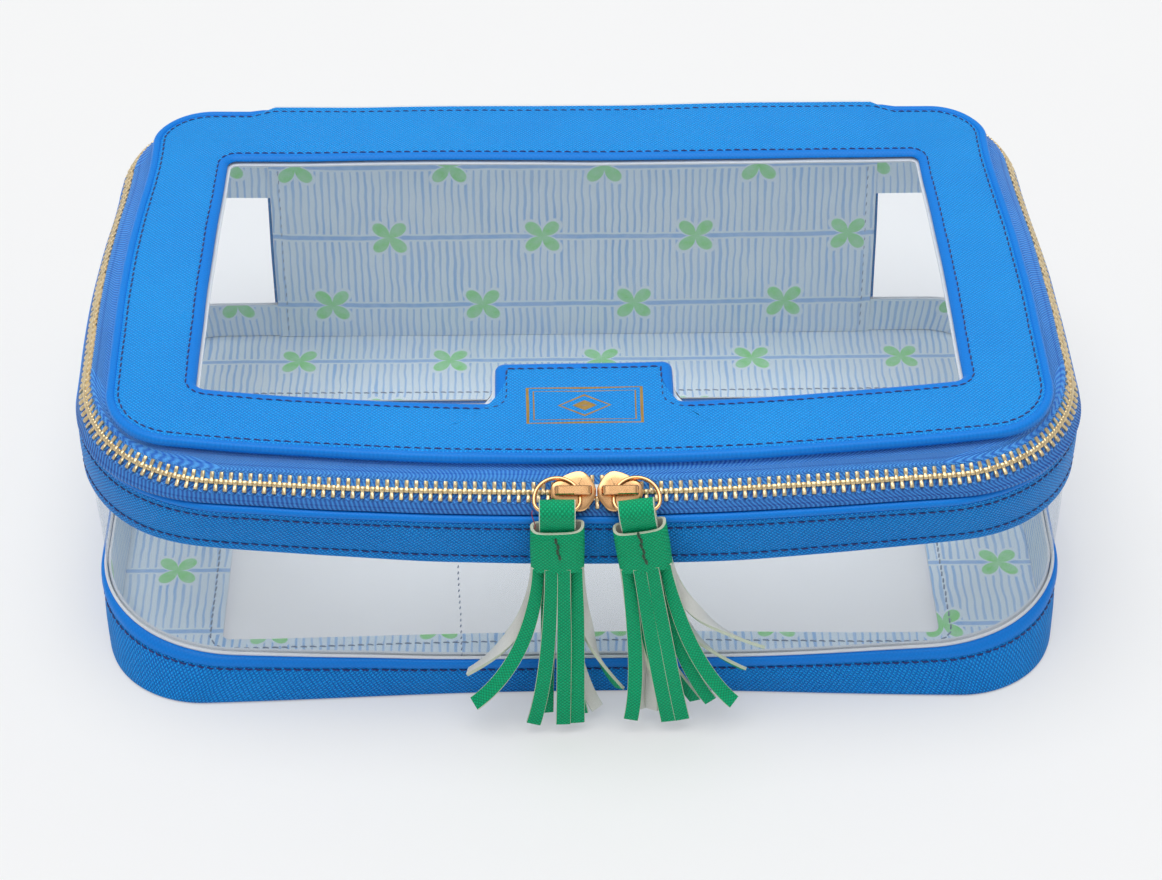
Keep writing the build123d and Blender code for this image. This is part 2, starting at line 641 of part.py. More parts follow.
def write(parts):
    """Write every sub-part, moved so that the origin is below the middle of the overall box."""
    box = Compound([solid for piece in parts.values() for solid in solids_of(piece)]).bounding_box()
    shift = Pos(-box.center().X, -box.center().Y, 0)
    os.makedirs("parts", exist_ok=True)
    for name, piece in parts.items():
        moved = [shift * solid for solid in solids_of(piece)]
        export_step(moved[0] if len(moved) == 1 else Compound(moved), f"parts/{name}.step")
    print("shift", shift.position, "box", box.size, "top", LID_TOP_Z)


write(sub_parts())
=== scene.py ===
"""The looks of a clear zip case for a tile game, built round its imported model.

Shapes are drawn in millimetres about the case's own middle, as the part is, and moved into the frame when a piece is
made. Each piece's texture coordinates are millimetres too: u along it and v across it.
"""

import math
import random
from dataclasses import dataclass, replace

import bmesh
import bpy
import numpy as np
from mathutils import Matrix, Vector


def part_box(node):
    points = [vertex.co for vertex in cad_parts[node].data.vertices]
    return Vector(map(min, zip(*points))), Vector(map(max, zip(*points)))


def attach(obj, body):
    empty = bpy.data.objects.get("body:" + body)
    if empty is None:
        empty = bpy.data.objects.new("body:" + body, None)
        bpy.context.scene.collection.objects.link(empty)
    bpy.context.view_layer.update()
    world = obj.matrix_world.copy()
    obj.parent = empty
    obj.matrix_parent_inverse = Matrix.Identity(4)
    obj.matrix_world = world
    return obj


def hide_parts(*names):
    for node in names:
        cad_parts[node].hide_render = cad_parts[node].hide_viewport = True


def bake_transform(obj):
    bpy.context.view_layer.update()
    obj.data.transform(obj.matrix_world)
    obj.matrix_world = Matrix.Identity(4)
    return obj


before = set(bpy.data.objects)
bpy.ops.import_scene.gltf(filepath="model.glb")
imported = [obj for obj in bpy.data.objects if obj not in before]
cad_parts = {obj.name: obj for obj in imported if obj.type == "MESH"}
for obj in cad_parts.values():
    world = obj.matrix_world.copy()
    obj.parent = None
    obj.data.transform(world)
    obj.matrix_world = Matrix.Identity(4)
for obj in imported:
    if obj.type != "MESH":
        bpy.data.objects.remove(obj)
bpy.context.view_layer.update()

MM = 0.001
TAU = 2 * math.pi

# ---- the part's own sizes ----
LEATHER, LID_LEATHER, PVC, TAPE, LINING = 1.6, 1.4, 0.6, 0.6, 0.5
LAYER_DEPTH, LINING_DEPTH = 1.75, 2.5
BAND_TOP_Z, BELT_Z, SHOULDER_Z, PIPING_TOP_Z = 14.5, 58.0, 76.2, 78.4
CHAIN_Z, LID_BOTTOM_Z, LID_LAYER_Z, LID_TOP_Z = 83.4, 88.6, 89.2, 91.3
BASE_LAYER_Z, BASE_LINING_Z, FLOOR_Z = 1.7, 2.4, 2.9
HINGE_Z = 84.5
HALF_PANEL, BACK_OPENING, HALF_LINING = 104.0, 98.0, 102.6
BACK_LINING_DEPTH = 3.15
LID_WINDOW = dict(half=113.2, front=-69.0, back=60.0)
BASE_WINDOW = dict(half=111.0, front=-72.0, back=46.0)
WINDOW_CORNER, WINDOW_OVERLAP = 3.0, 7.0
TAB_HALF, TAB_DEPTH, TAB_OFFSET = 26.0, 19.0, 1.0
RIM = 2.6
PITCH, TOOTH_ROOT, TOOTH_TIP, TAPE_EDGE, TAPE_FLAT = 2.8, 2.9, 0.75, 1.05, 4.2
MEETING, SPREAD, SPREAD_FULL, SPREAD_END = 4.0, 1.9, 5.5, 12.5
SLIDER_LENGTH, SLIDER_GAP, INNER_FACE, PLATE, BACK_PLATE = 13.0, 0.3, 1.3, 1.2, 1.0
MOUTH_HALF, TAIL_HALF, FLANGE, TAPE_SLOT = 5.2, 3.3, 0.7, 1.1
BRIDGE_LENGTH, BRIDGE_WIDTH, BRIDGE_BAR, BRIDGE_HOLE = 10.6, 2.6, 1.3, 2.95
RING_LENGTH, RING_HEIGHT, RING_WIRE, RING_CORNER = 14.3, 11.3, 1.2, 3.0
RING_TILT, RING_SHIFT, RING_DROP = 16.5, 4.6, 1.1
HANG, STRAP_WIDTH, STRAP_THICKNESS, STRAP_FOLD, LOOP_SHIFT, LOOP_FOOT = -1.1, 10.3, 1.2, 2.0, 0.45, -1.2
HEAD_WIDTH, HEAD_THICKNESS, HEAD_WALL, HEAD_HEIGHT, HEAD_TOP = 15.3, 6.2, 0.95, 15.0, -4.6
STRAP_TUCK, STRAND_THICKNESS, STRAND_PITCH, RIGHT_LEAN = 11.0, 0.95, 3.75, 8.0


# ---- outlines ----
@dataclass(frozen=True)
class Outline:
    """A rounded rectangle at one height, whose front is an arc that bows out by `bow` over the half width."""

    z: float
    half: float
    front: float
    back: float
    corner: float
    back_corner: float
    bow: float

    @property
    def bow_radius(self):
        return (self.half**2 + self.bow**2) / (2 * self.bow)


BASE = Outline(0, 145.5, -95.5, 85.0, 31, 24, -2.5)
BAND_TOP = Outline(BAND_TOP_Z, 149.5, -97.0, 86.0, 48, 26, 7)
BELT = Outline(BELT_Z, 150.2, -102.7, 89.5, 46, 28, 16)
SHOULDER = Outline(SHOULDER_Z, 150.6, -106.0, 91.0, 53, 30, 12.5)
CHAIN = Outline(CHAIN_Z, 147.1, -100.8, 90.0, 46, 28, 11.5)
LID = Outline(LID_BOTTOM_Z, 140.0, -95.0, 92.0, 24, 20, 13.5)
SHIFT = np.array([0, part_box("lid_rim")[1].y / MM - LID.back, 0])

# How many points a half outline has in its front, corner, side, back corner and back.
COUNTS = (90, 30, 36, 18, 30)
FRONT_RUN, SIDE_RUN, BACK_RUN = (1 / math.tan(math.radians(a)) for a in (44, 56, 80))


def level(z):
    """The body's outline at height z."""
    stations = [BASE, BAND_TOP, BELT, SHOULDER]
    for low, high in zip(stations, stations[1:]):
        if z <= high.z:
            break
    t = (z - low.z) / (high.z - low.z)
    return Outline(**{key: a + t * (getattr(high, key) - a) for key, a in vars(low).items()})


def chain_level(rise):
    """The outline on the chain's slope, `rise` above the chain's middle."""
    half, radius = CHAIN.half - rise * SIDE_RUN, CHAIN.bow_radius - rise * FRONT_RUN
    front, back = CHAIN.front + rise * FRONT_RUN, CHAIN.back - rise * BACK_RUN
    bow = radius - math.sqrt(radius**2 - half**2)
    return replace(CHAIN, z=CHAIN_Z + rise, half=half, front=front, back=back, bow=bow)


def arc(cx, cy, radius, start, end, count, ends=False):
    """Points and outward normals on an arc, angles in degrees."""
    a = np.radians(np.linspace(start, end, count, endpoint=ends))
    normals = np.c_[np.cos(a), np.sin(a)]
    return np.array([cx, cy]) + radius * normals, normals


def straight(a, b, count, ends=False):
    t = np.linspace(0, 1, count, endpoint=ends)[:, None]
    a, b = np.array(a, float), np.array(b, float)
    along = (b - a) / np.linalg.norm(b - a)
    return a + t * (b - a), np.tile([along[1], -along[0]], (count, 1))


def half_run(o, end):
    """From the front's middle round the right side to x = end on the back edge."""
    radius = o.bow_radius
    out = math.copysign(1, radius)
    middle, reach = o.front + radius, radius - o.corner
    cx = o.half - o.corner
    cy = middle - out * math.sqrt(reach**2 - cx**2)
    mx, my = cx * radius / reach, middle + (cy - middle) * radius / reach
    bx, by = o.half - o.back_corner, o.back - o.back_corner
    x = np.linspace(0, mx, COUNTS[0], endpoint=False)
    y = middle - out * np.sqrt(radius**2 - x**2)
    turn = math.degrees(math.atan2(my - cy, mx - cx))
    pieces = [
        (np.c_[x, y], np.c_[x, y - middle] / radius),
        arc(cx, cy, o.corner, turn, 0, COUNTS[1]),
        straight((o.half, cy), (o.half, by), COUNTS[2]),
        arc(bx, by, o.back_corner, 0, 90, COUNTS[3]),
        straight((bx, o.back), (end, o.back), COUNTS[4], ends=True),
    ]
    return tuple(np.concatenate(part) for part in zip(*pieces))


MIRROR = np.array([-1, 1])


def run(o, end):
    """The outline from its left end at the back, round the front, to its right end."""
    return tuple(np.concatenate([(a * MIRROR)[:0:-1], a]) for a in half_run(o, end))


def loop(o):
    return tuple(np.concatenate([a, (a * MIRROR)[-2:0:-1]]) for a in half_run(o, 0))


def row(o, depth=0.0, z=None, end=None):
    """The outline, depth inside it, as points in space: open at the back if end is given."""
    points, normals = loop(o) if end is None else run(o, end)
    height = np.full(len(points), o.z if z is None else z)
    return np.c_[points - normals * depth, height]


def walls(profile, end=None):
    """Rows up the body's wall, from (height, depth) pairs."""
    return np.array([row(level(min(z, SHOULDER_Z)), depth, z, end) for z, depth in profile])


# ---- the shape of soft things ----
def smooth(t):
    t = np.clip(t, 0, 1)
    return t * t * (3 - 2 * t)


def waves(points, seed, step, size):
    """A smooth random number at each point, up to about `size`, that changes over `step` millimetres."""
    dice = random.Random(seed)
    total = 0
    for _ in range(5):
        way = np.array([dice.gauss(0, 1) for _ in range(3)])
        way *= TAU / step * dice.uniform(0.5, 1.3) / np.linalg.norm(way)
        total = total + np.sin(points @ way + dice.uniform(0, TAU))
    return size * total / 3


def soft_interp(y, places, values, reach=14):
    """Interpolation with its corners rounded off over `reach` millimetres."""
    return sum(np.interp(y + reach * t, places, values) for t in (-1, -0.5, 0, 0.5, 1)) / 5


# How far the soft sides lean to the left, and how much narrower each side stands, from front to back.
LEAN = ((-75, -40, -10, 90), (0, -0.8, -1.4, -1.4))
NARROWER = ((-90, -60, -40, -10, 24, 35, 55, 72, 95), (1.0, 1.2, 0.6, 0.1, 1.2, 2.2, 3.9, 3.4, 1.6))
BASE_CORNERS = 2.2


def slump(points):
    """The shape that the soft case has taken: sides leaning and drawn in, and the base's front corners standing out."""
    x, y, z = points[..., 0], points[..., 1], points[..., 2]
    aside = smooth((abs(x) - 95) / 50)
    height = 0.4 + 0.6 * smooth((z - 40) / 30)
    lean = soft_interp(y, *LEAN) * (0.35 + 0.65 * aside)
    narrower = soft_interp(y, *NARROWER) * aside
    foot = smooth(1 - z / 18) * smooth((abs(x) - 20) / 90) * smooth((-y - 40) / 40)
    return np.stack([(lean - np.sign(x) * narrower) * height, -BASE_CORNERS * foot, 0 * z], -1)


def settle(points):
    """Hand-made unevenness, the same for every piece at a place, so that neighbours move together."""
    shift = np.stack([waves(points, seed, 95, size) for seed, size in ((1, 0.35), (2, 0.35), (3, 0.3))], -1)
    fine = np.stack([waves(points, seed, 34, 0.09) for seed in (4, 5, 6)], -1)
    lifted = smooth(points[..., 2:3] / 12)
    return points + slump(points) + (shift + fine) * (0.25 + 0.75 * lifted)


def lid_step(points):
    """The ends of the lid's back edge, which stand further forward than its middle over the hinge."""
    x, y, z = np.moveaxis(points, -1, 0)
    moved = points.copy()
    moved[..., 1] -= 3.3 * smooth((abs(x) - 99) / 9) * smooth((y - 62) / 24) * smooth((z - 79) / 8)
    return moved


def smooth_rows(rows, count):
    """More rows on smooth curves through the given ones."""
    rows = np.asarray(rows, float)
    padded = np.concatenate([2 * rows[:1] - rows[1:2], rows, 2 * rows[-1:] - rows[-2:-1]])
    out = []
    for t in np.linspace(0, len(rows) - 1, count):
        i = min(int(t), len(rows) - 2)
        f = t - i
        a, b, c, d = padded[i : i + 4]
        out.append(b + 0.5 * f * (c - a + f * (2 * a - 5 * b + 4 * c - d + f * (3 * (b - c) + d - a))))
    return np.array(out)


def grid_normals(rows, ring=False):
    across = np.gradient(rows, axis=0)
    if ring:
        wide = np.concatenate([rows[:, -1:], rows, rows[:, :1]], 1)
        along = np.gradient(wide, axis=1)[:, 1:-1]
    else:
        along = np.gradient(rows, axis=1)
    n = np.cross(along, across)
    return n / np.maximum(np.linalg.norm(n, axis=-1, keepdims=True), 1e-9)


def lengths(points, ring=False):
    """How far along a line of points each one is."""
    if ring:
        points = np.concatenate([points, points[:1]])
    steps = np.linalg.norm(np.diff(points, axis=0), axis=1)
    return np.concatenate([[0], np.cumsum(steps)])


class Shape:
    """The points, faces, texture places and face materials of one piece."""

    def __init__(self):
        self.points, self.faces, self.places, self.kinds = [], [], [], []
        self.count = 0

    def add(self, points, faces, places, kind=0):
        points = np.asarray(points, float).reshape(-1, 3)
        self.points.append(points)
        self.faces += [tuple(i + self.count for i in face) for face in faces]
        self.places += [tuple(p) for p in places]
        self.kinds += [kind] * len(faces) if isinstance(kind, int) else list(kind)
        self.count += len(points)

    def grid(self, rows, wrap=False, ring=False, kinds=0, u=None, v=None, caps=None, cap_kind=None):
        """Quads over rows of points: wrap joins the last row to the first, ring the last column to the first."""
        rows = np.asarray(rows, float)
        r, c = rows.shape[:2]
        u = lengths(rows[r // 2], ring) if u is None else np.asarray(u, float)
        v = lengths(rows[:, c // 2], wrap) if v is None else np.asarray(v, float)
        faces, places, kind = [], [], []
        for i in range(r - 1 + wrap):
            low, high = i * c, (i + 1) % r * c
            for j in range(c - 1 + ring):
                k = (j + 1) % c
                faces.append((low + j, low + k, high + k, high + j))
                places += [(u[j], v[i]), (u[j + 1], v[i]), (u[j + 1], v[i + 1]), (u[j], v[i + 1])]
                kind.append(kinds if isinstance(kinds, int) else kinds[i])
        end_kind = (kinds if isinstance(kinds, int) else kinds[0]) if cap_kind is None else cap_kind
        ends = (wrap and not ring) if caps is None else caps
        if ends and wrap:
            for j in (0, c - 1):
                faces.append(tuple(i * c + j for i in range(r)))
                places += [(u[j] + 0.1 * i, v[i]) for i in range(r)]
                kind.append(end_kind)
        if ends and ring:
            for i in (0, r - 1):
                faces.append(tuple(i * c + j for j in range(c)))
                places += [(u[j], v[i] + 0.01 * j) for j in range(c)]
                kind.append(end_kind)
        self.add(rows, faces, places, kind)

    def sheet(self, rows, thickness, ring=False, kinds=(0, 0, 0), u=None, v=None):
        """A sheet over the rows: kinds are the materials of its front, its back and its cut edges."""
        rows = np.asarray(rows, float)
        n = grid_normals(rows, ring) * thickness / 2
        r = len(rows)
        v = lengths(rows[:, rows.shape[1] // 2]) if v is None else np.asarray(v, float)
        both = np.concatenate([rows + n, (rows - n)[::-1]])
        across = np.concatenate([v, v[::-1] + 0.01, v[:1]])
        kind = [kinds[0]] * (r - 1) + [kinds[2]] + [kinds[1]] * (r - 1) + [kinds[2]]
        self.grid(both, wrap=True, ring=ring, kinds=kind, u=u, v=across, cap_kind=kinds[2])

    def tube(self, line, up, radii, sides=6, flat=1.0, kinds=0):
        """A capped tube along a line: up is its upward direction, flat squeezes it upwards."""
        line, up = np.asarray(line, float), np.asarray(up, float)
        along = np.gradient(line, axis=0)
        along /= np.maximum(np.linalg.norm(along, axis=1, keepdims=True), 1e-9)
        side = np.cross(along, np.broadcast_to(up, line.shape))
        side /= np.maximum(np.linalg.norm(side, axis=1, keepdims=True), 1e-9)
        top = np.cross(side, along)
        a = np.linspace(0, TAU, sides, endpoint=False)
        radii = np.broadcast_to(radii, len(line))
        around = np.cos(a)[None, :, None] * side[:, None] + flat * np.sin(a)[None, :, None] * top[:, None]
        self.grid(line[:, None] + around * radii[:, None, None], ring=True, caps=True, kinds=kinds)


def make(name, shape, materials, body, replaces=(), even=False, step=False, sharp=45, rigid=None):
    """The Blender object of a shape, riding on a body. even leaves out the unevenness; rigid takes it at one point."""
    points = np.concatenate(shape.points)
    if step:
        points = lid_step(points)
    if rigid is not None:
        at = np.asarray(rigid, float)
        points = points + (settle(at) - at)
    elif not even:
        points = settle(points)
    mesh = bpy.data.meshes.new(name)
    mesh.from_pydata(((points + SHIFT) * MM).tolist(), [], shape.faces)
    layer = mesh.uv_layers.new(name="millimetres")
    layer.data.foreach_set("uv", np.asarray(shape.places, np.float32).ravel())
    mesh.polygons.foreach_set("material_index", np.asarray(shape.kinds, np.int32))
    for material in materials if isinstance(materials, (list, tuple)) else [materials]:
        mesh.materials.append(material)
    work = bmesh.new()
    work.from_mesh(mesh)
    bmesh.ops.recalc_face_normals(work, faces=work.faces)
    work.to_mesh(mesh)
    work.free()
    mesh.polygons.foreach_set("use_smooth", np.ones(len(mesh.polygons), bool))
    mesh.set_sharp_from_angle(angle=math.radians(sharp))
    piece = bpy.data.objects.new(name, mesh)
    bpy.context.scene.collection.objects.link(piece)
    if body:
        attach(piece, body)
    if replaces:
        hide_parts(*replaces)
    return piece


# ---- materials ----
def rgb(r, g, b):
    """A screen colour, 0 to 255, as the linear colour a shader takes."""
    return tuple((c / 12.92 if c <= 0.04045 else ((c + 0.055) / 1.055) ** 2.4) for c in (r / 255, g / 255, b / 255)) + (1,)


class Field:
    """A number at each point of a surface. Arithmetic on it adds nodes."""

    def __init__(self, tree, socket):
        self.tree, self.socket = tree, socket

    def math(self, operation, *others, clamp=False):
        node = self.tree.nodes.new("ShaderNodeMath")
        node.operation, node.use_clamp = operation, clamp
        for socket, value in zip(node.inputs, (self, *others)):
            if isinstance(value, Field):
                self.tree.links.new(value.socket, socket)
            else:
                socket.default_value = value
        return Field(self.tree, node.outputs[0])

    def __add__(self, other):
        return self.math("ADD", other)

    def __sub__(self, other):
        return self.math("SUBTRACT", other)

    def __mul__(self, other):
        return self.math("MULTIPLY", other)

    def __truediv__(self, other):
        return self.math("DIVIDE", other)

    def __abs__(self):
        return self.math("ABSOLUTE")

    def sine(self, period=TAU, phase=0.0):
        return (self * (TAU / period) + phase).math("SINE")

    def cell(self, period):
        """-period/2 to period/2 within each cell."""
        return ((self / period).math("FRACT") - 0.5) * period

    def number(self, period):
        return (self / period).math("FLOOR")

    def fold(self, period):
        return self.math("PINGPONG", period)

    def least(self, other):
        return self.math("MINIMUM", other)

    def most(self, other):
        return self.math("MAXIMUM", other)

    def below(self, edge, soft):
        """1 where the number is below edge, 0 where it is above, over a soft step."""
        return ((self * -1 + edge) / soft + 0.5).math("ADD", 0.0, clamp=True)


class Paint:
    """A material: a Principled shader, with numbers for where on the surface a point is."""

    def __init__(self, name, roughness=0.5, **settings):
        self.material = bpy.data.materials.new(name)
        self.material.use_nodes = True
        self.tree = self.material.node_tree
        self.shader = self.tree.nodes["Principled BSDF"]
        self.shader.inputs["Roughness"].default_value = roughness
        for key, value in settings.items():
            self.shader.inputs[key.replace("_", " ")].default_value = value
        self.where = self.tree.nodes.new("ShaderNodeTexCoord")
        parts = self.tree.nodes.new("ShaderNodeSeparateXYZ")
        self.tree.links.new(self.where.outputs["UV"], parts.inputs[0])
        self.u, self.v = Field(self.tree, parts.outputs[0]), Field(self.tree, parts.outputs[1])

    def noise(self, size, detail=2.0, on="Object", stretch=None):
        """0 to 1, changing over `size` millimetres."""
        node = self.tree.nodes.new("ShaderNodeTexNoise")
        node.inputs["Scale"].default_value = 1 / size / (MM if on == "Object" else 1)
        node.inputs["Detail"].default_value = detail
        source = self.where.outputs[on]
        if stretch:
            scale = self.tree.nodes.new("ShaderNodeVectorMath")
            scale.operation = "MULTIPLY"
            scale.inputs[1].default_value = stretch
            self.tree.links.new(source, scale.inputs[0])
            source = scale.outputs[0]
        self.tree.links.new(source, node.inputs["Vector"])
        return Field(self.tree, node.outputs["Fac"])

    def mix(self, factor, a, b):
        node = self.tree.nodes.new("ShaderNodeMix")
        node.data_type = "RGBA"
        sockets = [s for s in node.inputs if s.enabled]
        for socket, value in zip(sockets, (factor, a, b)):
            if isinstance(value, Field):
                self.tree.links.new(value.socket, socket)
            elif isinstance(value, bpy.types.NodeSocket):
                self.tree.links.new(value, socket)
            else:
                socket.default_value = value
        return [s for s in node.outputs if s.enabled][0]

    def colour(self, socket):
        self.tree.links.new(socket, self.shader.inputs["Base Color"])
        return self

    def rough(self, field):
        self.tree.links.new(field.socket, self.shader.inputs["Roughness"])
        return self

    def bump(self, field, height):
        """Relief of `height` millimetres from a 0 to 1 field."""
        node = self.tree.nodes.new("ShaderNodeBump")
        node.inputs["Distance"].default_value = height * MM
        self.tree.links.new(field.socket, node.inputs["Height"])
        self.tree.links.new(node.outputs[0], self.shader.inputs["Normal"])
        return self


def saffiano(name, colour, dark, relief=0.10, pitch=0.92, depth=0.5, roughness=0.44):
    """Leather pressed with a fine diagonal cross-hatch, with painted shade in its grooves and painted highlight on its
    raised tops, set by depth.
    """
    p = Paint(name, Specular_IOR_Level=0.2)
    wobble = p.noise(2.6) * 0.5
    u, v = p.u + wobble, p.v + p.noise(3.1) * 0.5
    step = pitch * math.sqrt(2) * 2
    cell = abs((u + v).sine(step)) * abs((u - v).sine(step))
    strokes = p.noise(0.8, 3, on="UV", stretch=(1, 1, 1))
    cloud = p.noise(38, 3)
    # painted shade and highlight: cell * depth darkens the cross-hatch's grooves and lightens its tops; strokes and
    # cloud add random tone
    shade_and_tone = cell * depth + strokes * 0.45 + cloud * 0.35 + (0.32 - depth / 2)
    p.colour(p.mix(shade_and_tone.math("ADD", 0.0, clamp=True), dark, colour))
    p.rough(cell * -0.08 + (strokes * 0.12 + roughness))
    return p.bump(cell + strokes * 0.35, relief).material


def twill(name, colour, dark):
    """Woven tape with rows of slanting ribs that meet in chevrons, with painted shade between the ribs and in the
    valleys between the rows.
    """
    p = Paint(name, roughness=0.72, Sheen_Weight=0.25, Sheen_Roughness=0.4)
    slant = p.v.fold(2.3) * 0.95
    ribs = (p.u + slant + p.noise(1.7) * 0.25).sine(1.35) * 0.5 + 0.5
    yarns = abs((p.u - slant * 1.3).sine(1.1))
    valley = abs(p.v.cell(2.3)).below(0.16, 0.2)
    relief = ribs * (yarns * 0.35 + 0.65)
    # painted shade: the colour follows the ribs' relief, darker between them, and valley * 0.3 darkens the valleys; the
    # noise is random tone
    shade_and_tone = relief * 0.95 + p.noise(12) * 0.25 - valley * 0.3
    p.colour(p.mix(shade_and_tone.math("ADD", 0.0, clamp=True), dark, colour))
    return p.bump(relief, 0.22).material


def printed(name, ground, stripe, leaf, lift=0.0):
    """Lining cloth with a plain all-over print: uneven pinstripes, thin cross lines and small four-petal rosettes."""
    p = Paint(name, roughness=0.62, Specular_IOR_Level=0.3)
    sway = p.noise(9, 1, on="UV") * 1.3
    width = p.noise(5, 1, on="UV", stretch=(1, 0.25, 1)) * 0.95 - 0.1
    fade = p.noise(14, 1, on="UV", stretch=(1.5, 0.5, 1))
    stripes = abs((p.u + sway).cell(2.45)).below(width, 0.3) * (fade * 0.9 + 0.25)
    v = p.v + sway * 0.5 + lift
    lines = abs(v.cell(27)).below(0.8, 0.4)
    gap = abs(v.cell(27)).below(1.5, 0.3)
    x, y = abs((p.u + v.number(27) * 31 + 7).cell(52)), abs(v.cell(27))
    far = (x.math("POWER", 2.0) + y.math("POWER", 2.0)).math("SQRT")
    petals = (x * y * 2.0 / (far * far + 0.05))
    rosette = far.below(petals * 6.2 + 1.2, 0.5)
    halo = far.below(petals * 6.2 + 2.6, 0.5)
    blot = p.noise(3.2, 2, on="UV")
    ink = (stripes * (gap * -1 + 1)).most(lines * (blot * 0.6 + 0.5))
    base = p.mix((ink * (halo * -1 + 1) * 0.8).math("ADD", 0.0, clamp=True), ground, stripe)
    p.colour(p.mix((rosette * (blot * 0.7 + 0.45)).math("ADD", 0.0, clamp=True), base, leaf))
    weave = abs(p.u.sine(0.9)) * 0.5 + abs(p.v.sine(0.9)) * 0.5
    return p.bump(weave, 0.03).material


def metal(name, colour, dark, roughness, brushed=0.25):
    p = Paint(name, Metallic=1.0)
    marks = p.noise(1.2, 2, stretch=(1, 1, 0.3))
    cloud = p.noise(4)
    p.colour(p.mix((marks * 0.4 + cloud * 0.6).math("ADD", 0.0, clamp=True), dark, colour))
    p.rough(marks * brushed + roughness)
    return p.bump(cloud, 0.02).material


def plain(name, colour, dark, grain, relief, roughness=0.7):
    """A matt material with a fine grain."""
    p = Paint(name, Specular_IOR_Level=0.3)
    fine, cloud = p.noise(grain, 3), p.noise(grain * 18)
    p.colour(p.mix((fine * 0.7 + cloud * 0.5).math("ADD", -0.1, clamp=True), dark, colour))
    p.rough(fine * 0.15 + roughness)
    return p.bump(fine, relief).material


def thread(name, colour, dark):
    p = Paint(name, Sheen_Weight=0.2)
    twist = (p.u * 1.2 + p.v).sine(0.35) * 0.5 + 0.5
    # painted shade: the colour follows the twist that makes the bump, darker in the twist's grooves; the noise is
    # random tone
    p.colour(p.mix(twist * 0.8 + p.noise(3) * 0.2, dark, colour))
    p.rough(twist * 0.1 + 0.5)
    return p.bump(twist, 0.06).material


def clear(name, tint, haze):
    """Clear sheet: what is behind it, and a gloss that grows towards its edges."""
    p = Paint(name, roughness=0.06, Specular_IOR_Level=0.5, Base_Color=rgb(228, 236, 244))
    nodes, links = p.tree.nodes, p.tree.links
    through = nodes.new("ShaderNodeBsdfTransparent")
    through.inputs["Color"].default_value = tint
    gloss = nodes.new("ShaderNodeLayerWeight")
    gloss.inputs["Blend"].default_value = 0.5
    rim = Field(p.tree, gloss.outputs["Facing"]).math("POWER", 4.0) * 0.3
    amount = (rim + p.noise(30) * haze + haze * 0.5).math("ADD", 0.0, clamp=True)
    blend = nodes.new("ShaderNodeMixShader")
    links.new(amount.socket, blend.inputs[0])
    links.new(through.outputs[0], blend.inputs[1])
    links.new(p.shader.outputs[0], blend.inputs[2])
    links.new(blend.outputs[0], nodes["Material Output"].inputs["Surface"])
    return p.bump(p.noise(30, 0), 0.3).material


BLUE, DEEP_BLUE = rgb(34, 172, 255), rgb(14, 112, 216)
blue_leather = saffiano("blue_leather", BLUE, DEEP_BLUE, relief=0.22, depth=0.9)
# painted shade: the bands take the lid's saffiano with darker, stronger painted groove shade, standing in for grazing
# light on the upright bands
band_leather_grazing_shade = saffiano("band_leather_grazing_shade", rgb(24, 168, 255), rgb(0, 80, 188), relief=0.4, depth=1.0, pitch=1.0)
blue_edge = saffiano("blue_turned_leather", rgb(20, 140, 236), rgb(0, 104, 208), relief=0.03, depth=0.25, roughness=0.38)
blue_tape = twill("blue_twill", rgb(84, 172, 252), rgb(14, 96, 196))
low_tape = twill("low_twill", rgb(58, 142, 222), rgb(4, 62, 146))
navy_thread = thread("navy_thread", rgb(14, 52, 148), rgb(2, 16, 78))
green_leather = saffiano("green_leather", rgb(0, 190, 128), rgb(0, 118, 74), relief=0.2, pitch=0.85, depth=0.8, roughness=0.5)
green_thread = thread("green_thread", rgb(4, 92, 48), rgb(0, 38, 20))
pale_thread = thread("pale_thread", rgb(176, 188, 206), rgb(120, 134, 160))
red_thread = thread("red_thread", rgb(196, 24, 58), rgb(120, 6, 28))
cut_edge = plain("cut_edge", rgb(226, 232, 214), rgb(176, 190, 164), 0.3, 0.05, 0.85)
suede = plain("suede", rgb(240, 240, 234), rgb(206, 206, 198), 0.35, 0.08, 0.9)
white_edge = plain("white_edge", rgb(244, 246, 248), rgb(222, 226, 232), 0.5, 0.03, 0.6)
card = plain("card", rgb(214, 212, 204), rgb(184, 180, 170), 0.6, 0.05, 0.8)
foam = plain("foam", rgb(232, 232, 228), rgb(200, 200, 196), 0.8, 0.2, 0.9)
lining_print = printed("lining_print", rgb(236, 246, 252), rgb(126, 182, 238), rgb(152, 232, 140))
clear_sheet = clear("clear_sheet", (0.985, 0.991, 0.998, 1), 0.022)
brass = metal("brass", rgb(244, 228, 190), rgb(206, 178, 128), 0.24)
rose_gold = metal("rose_gold", rgb(248, 202, 148), rgb(220, 160, 106), 0.2, 0.04)
gold_foil = metal("gold_foil", rgb(214, 178, 104), rgb(170, 134, 72), 0.3)


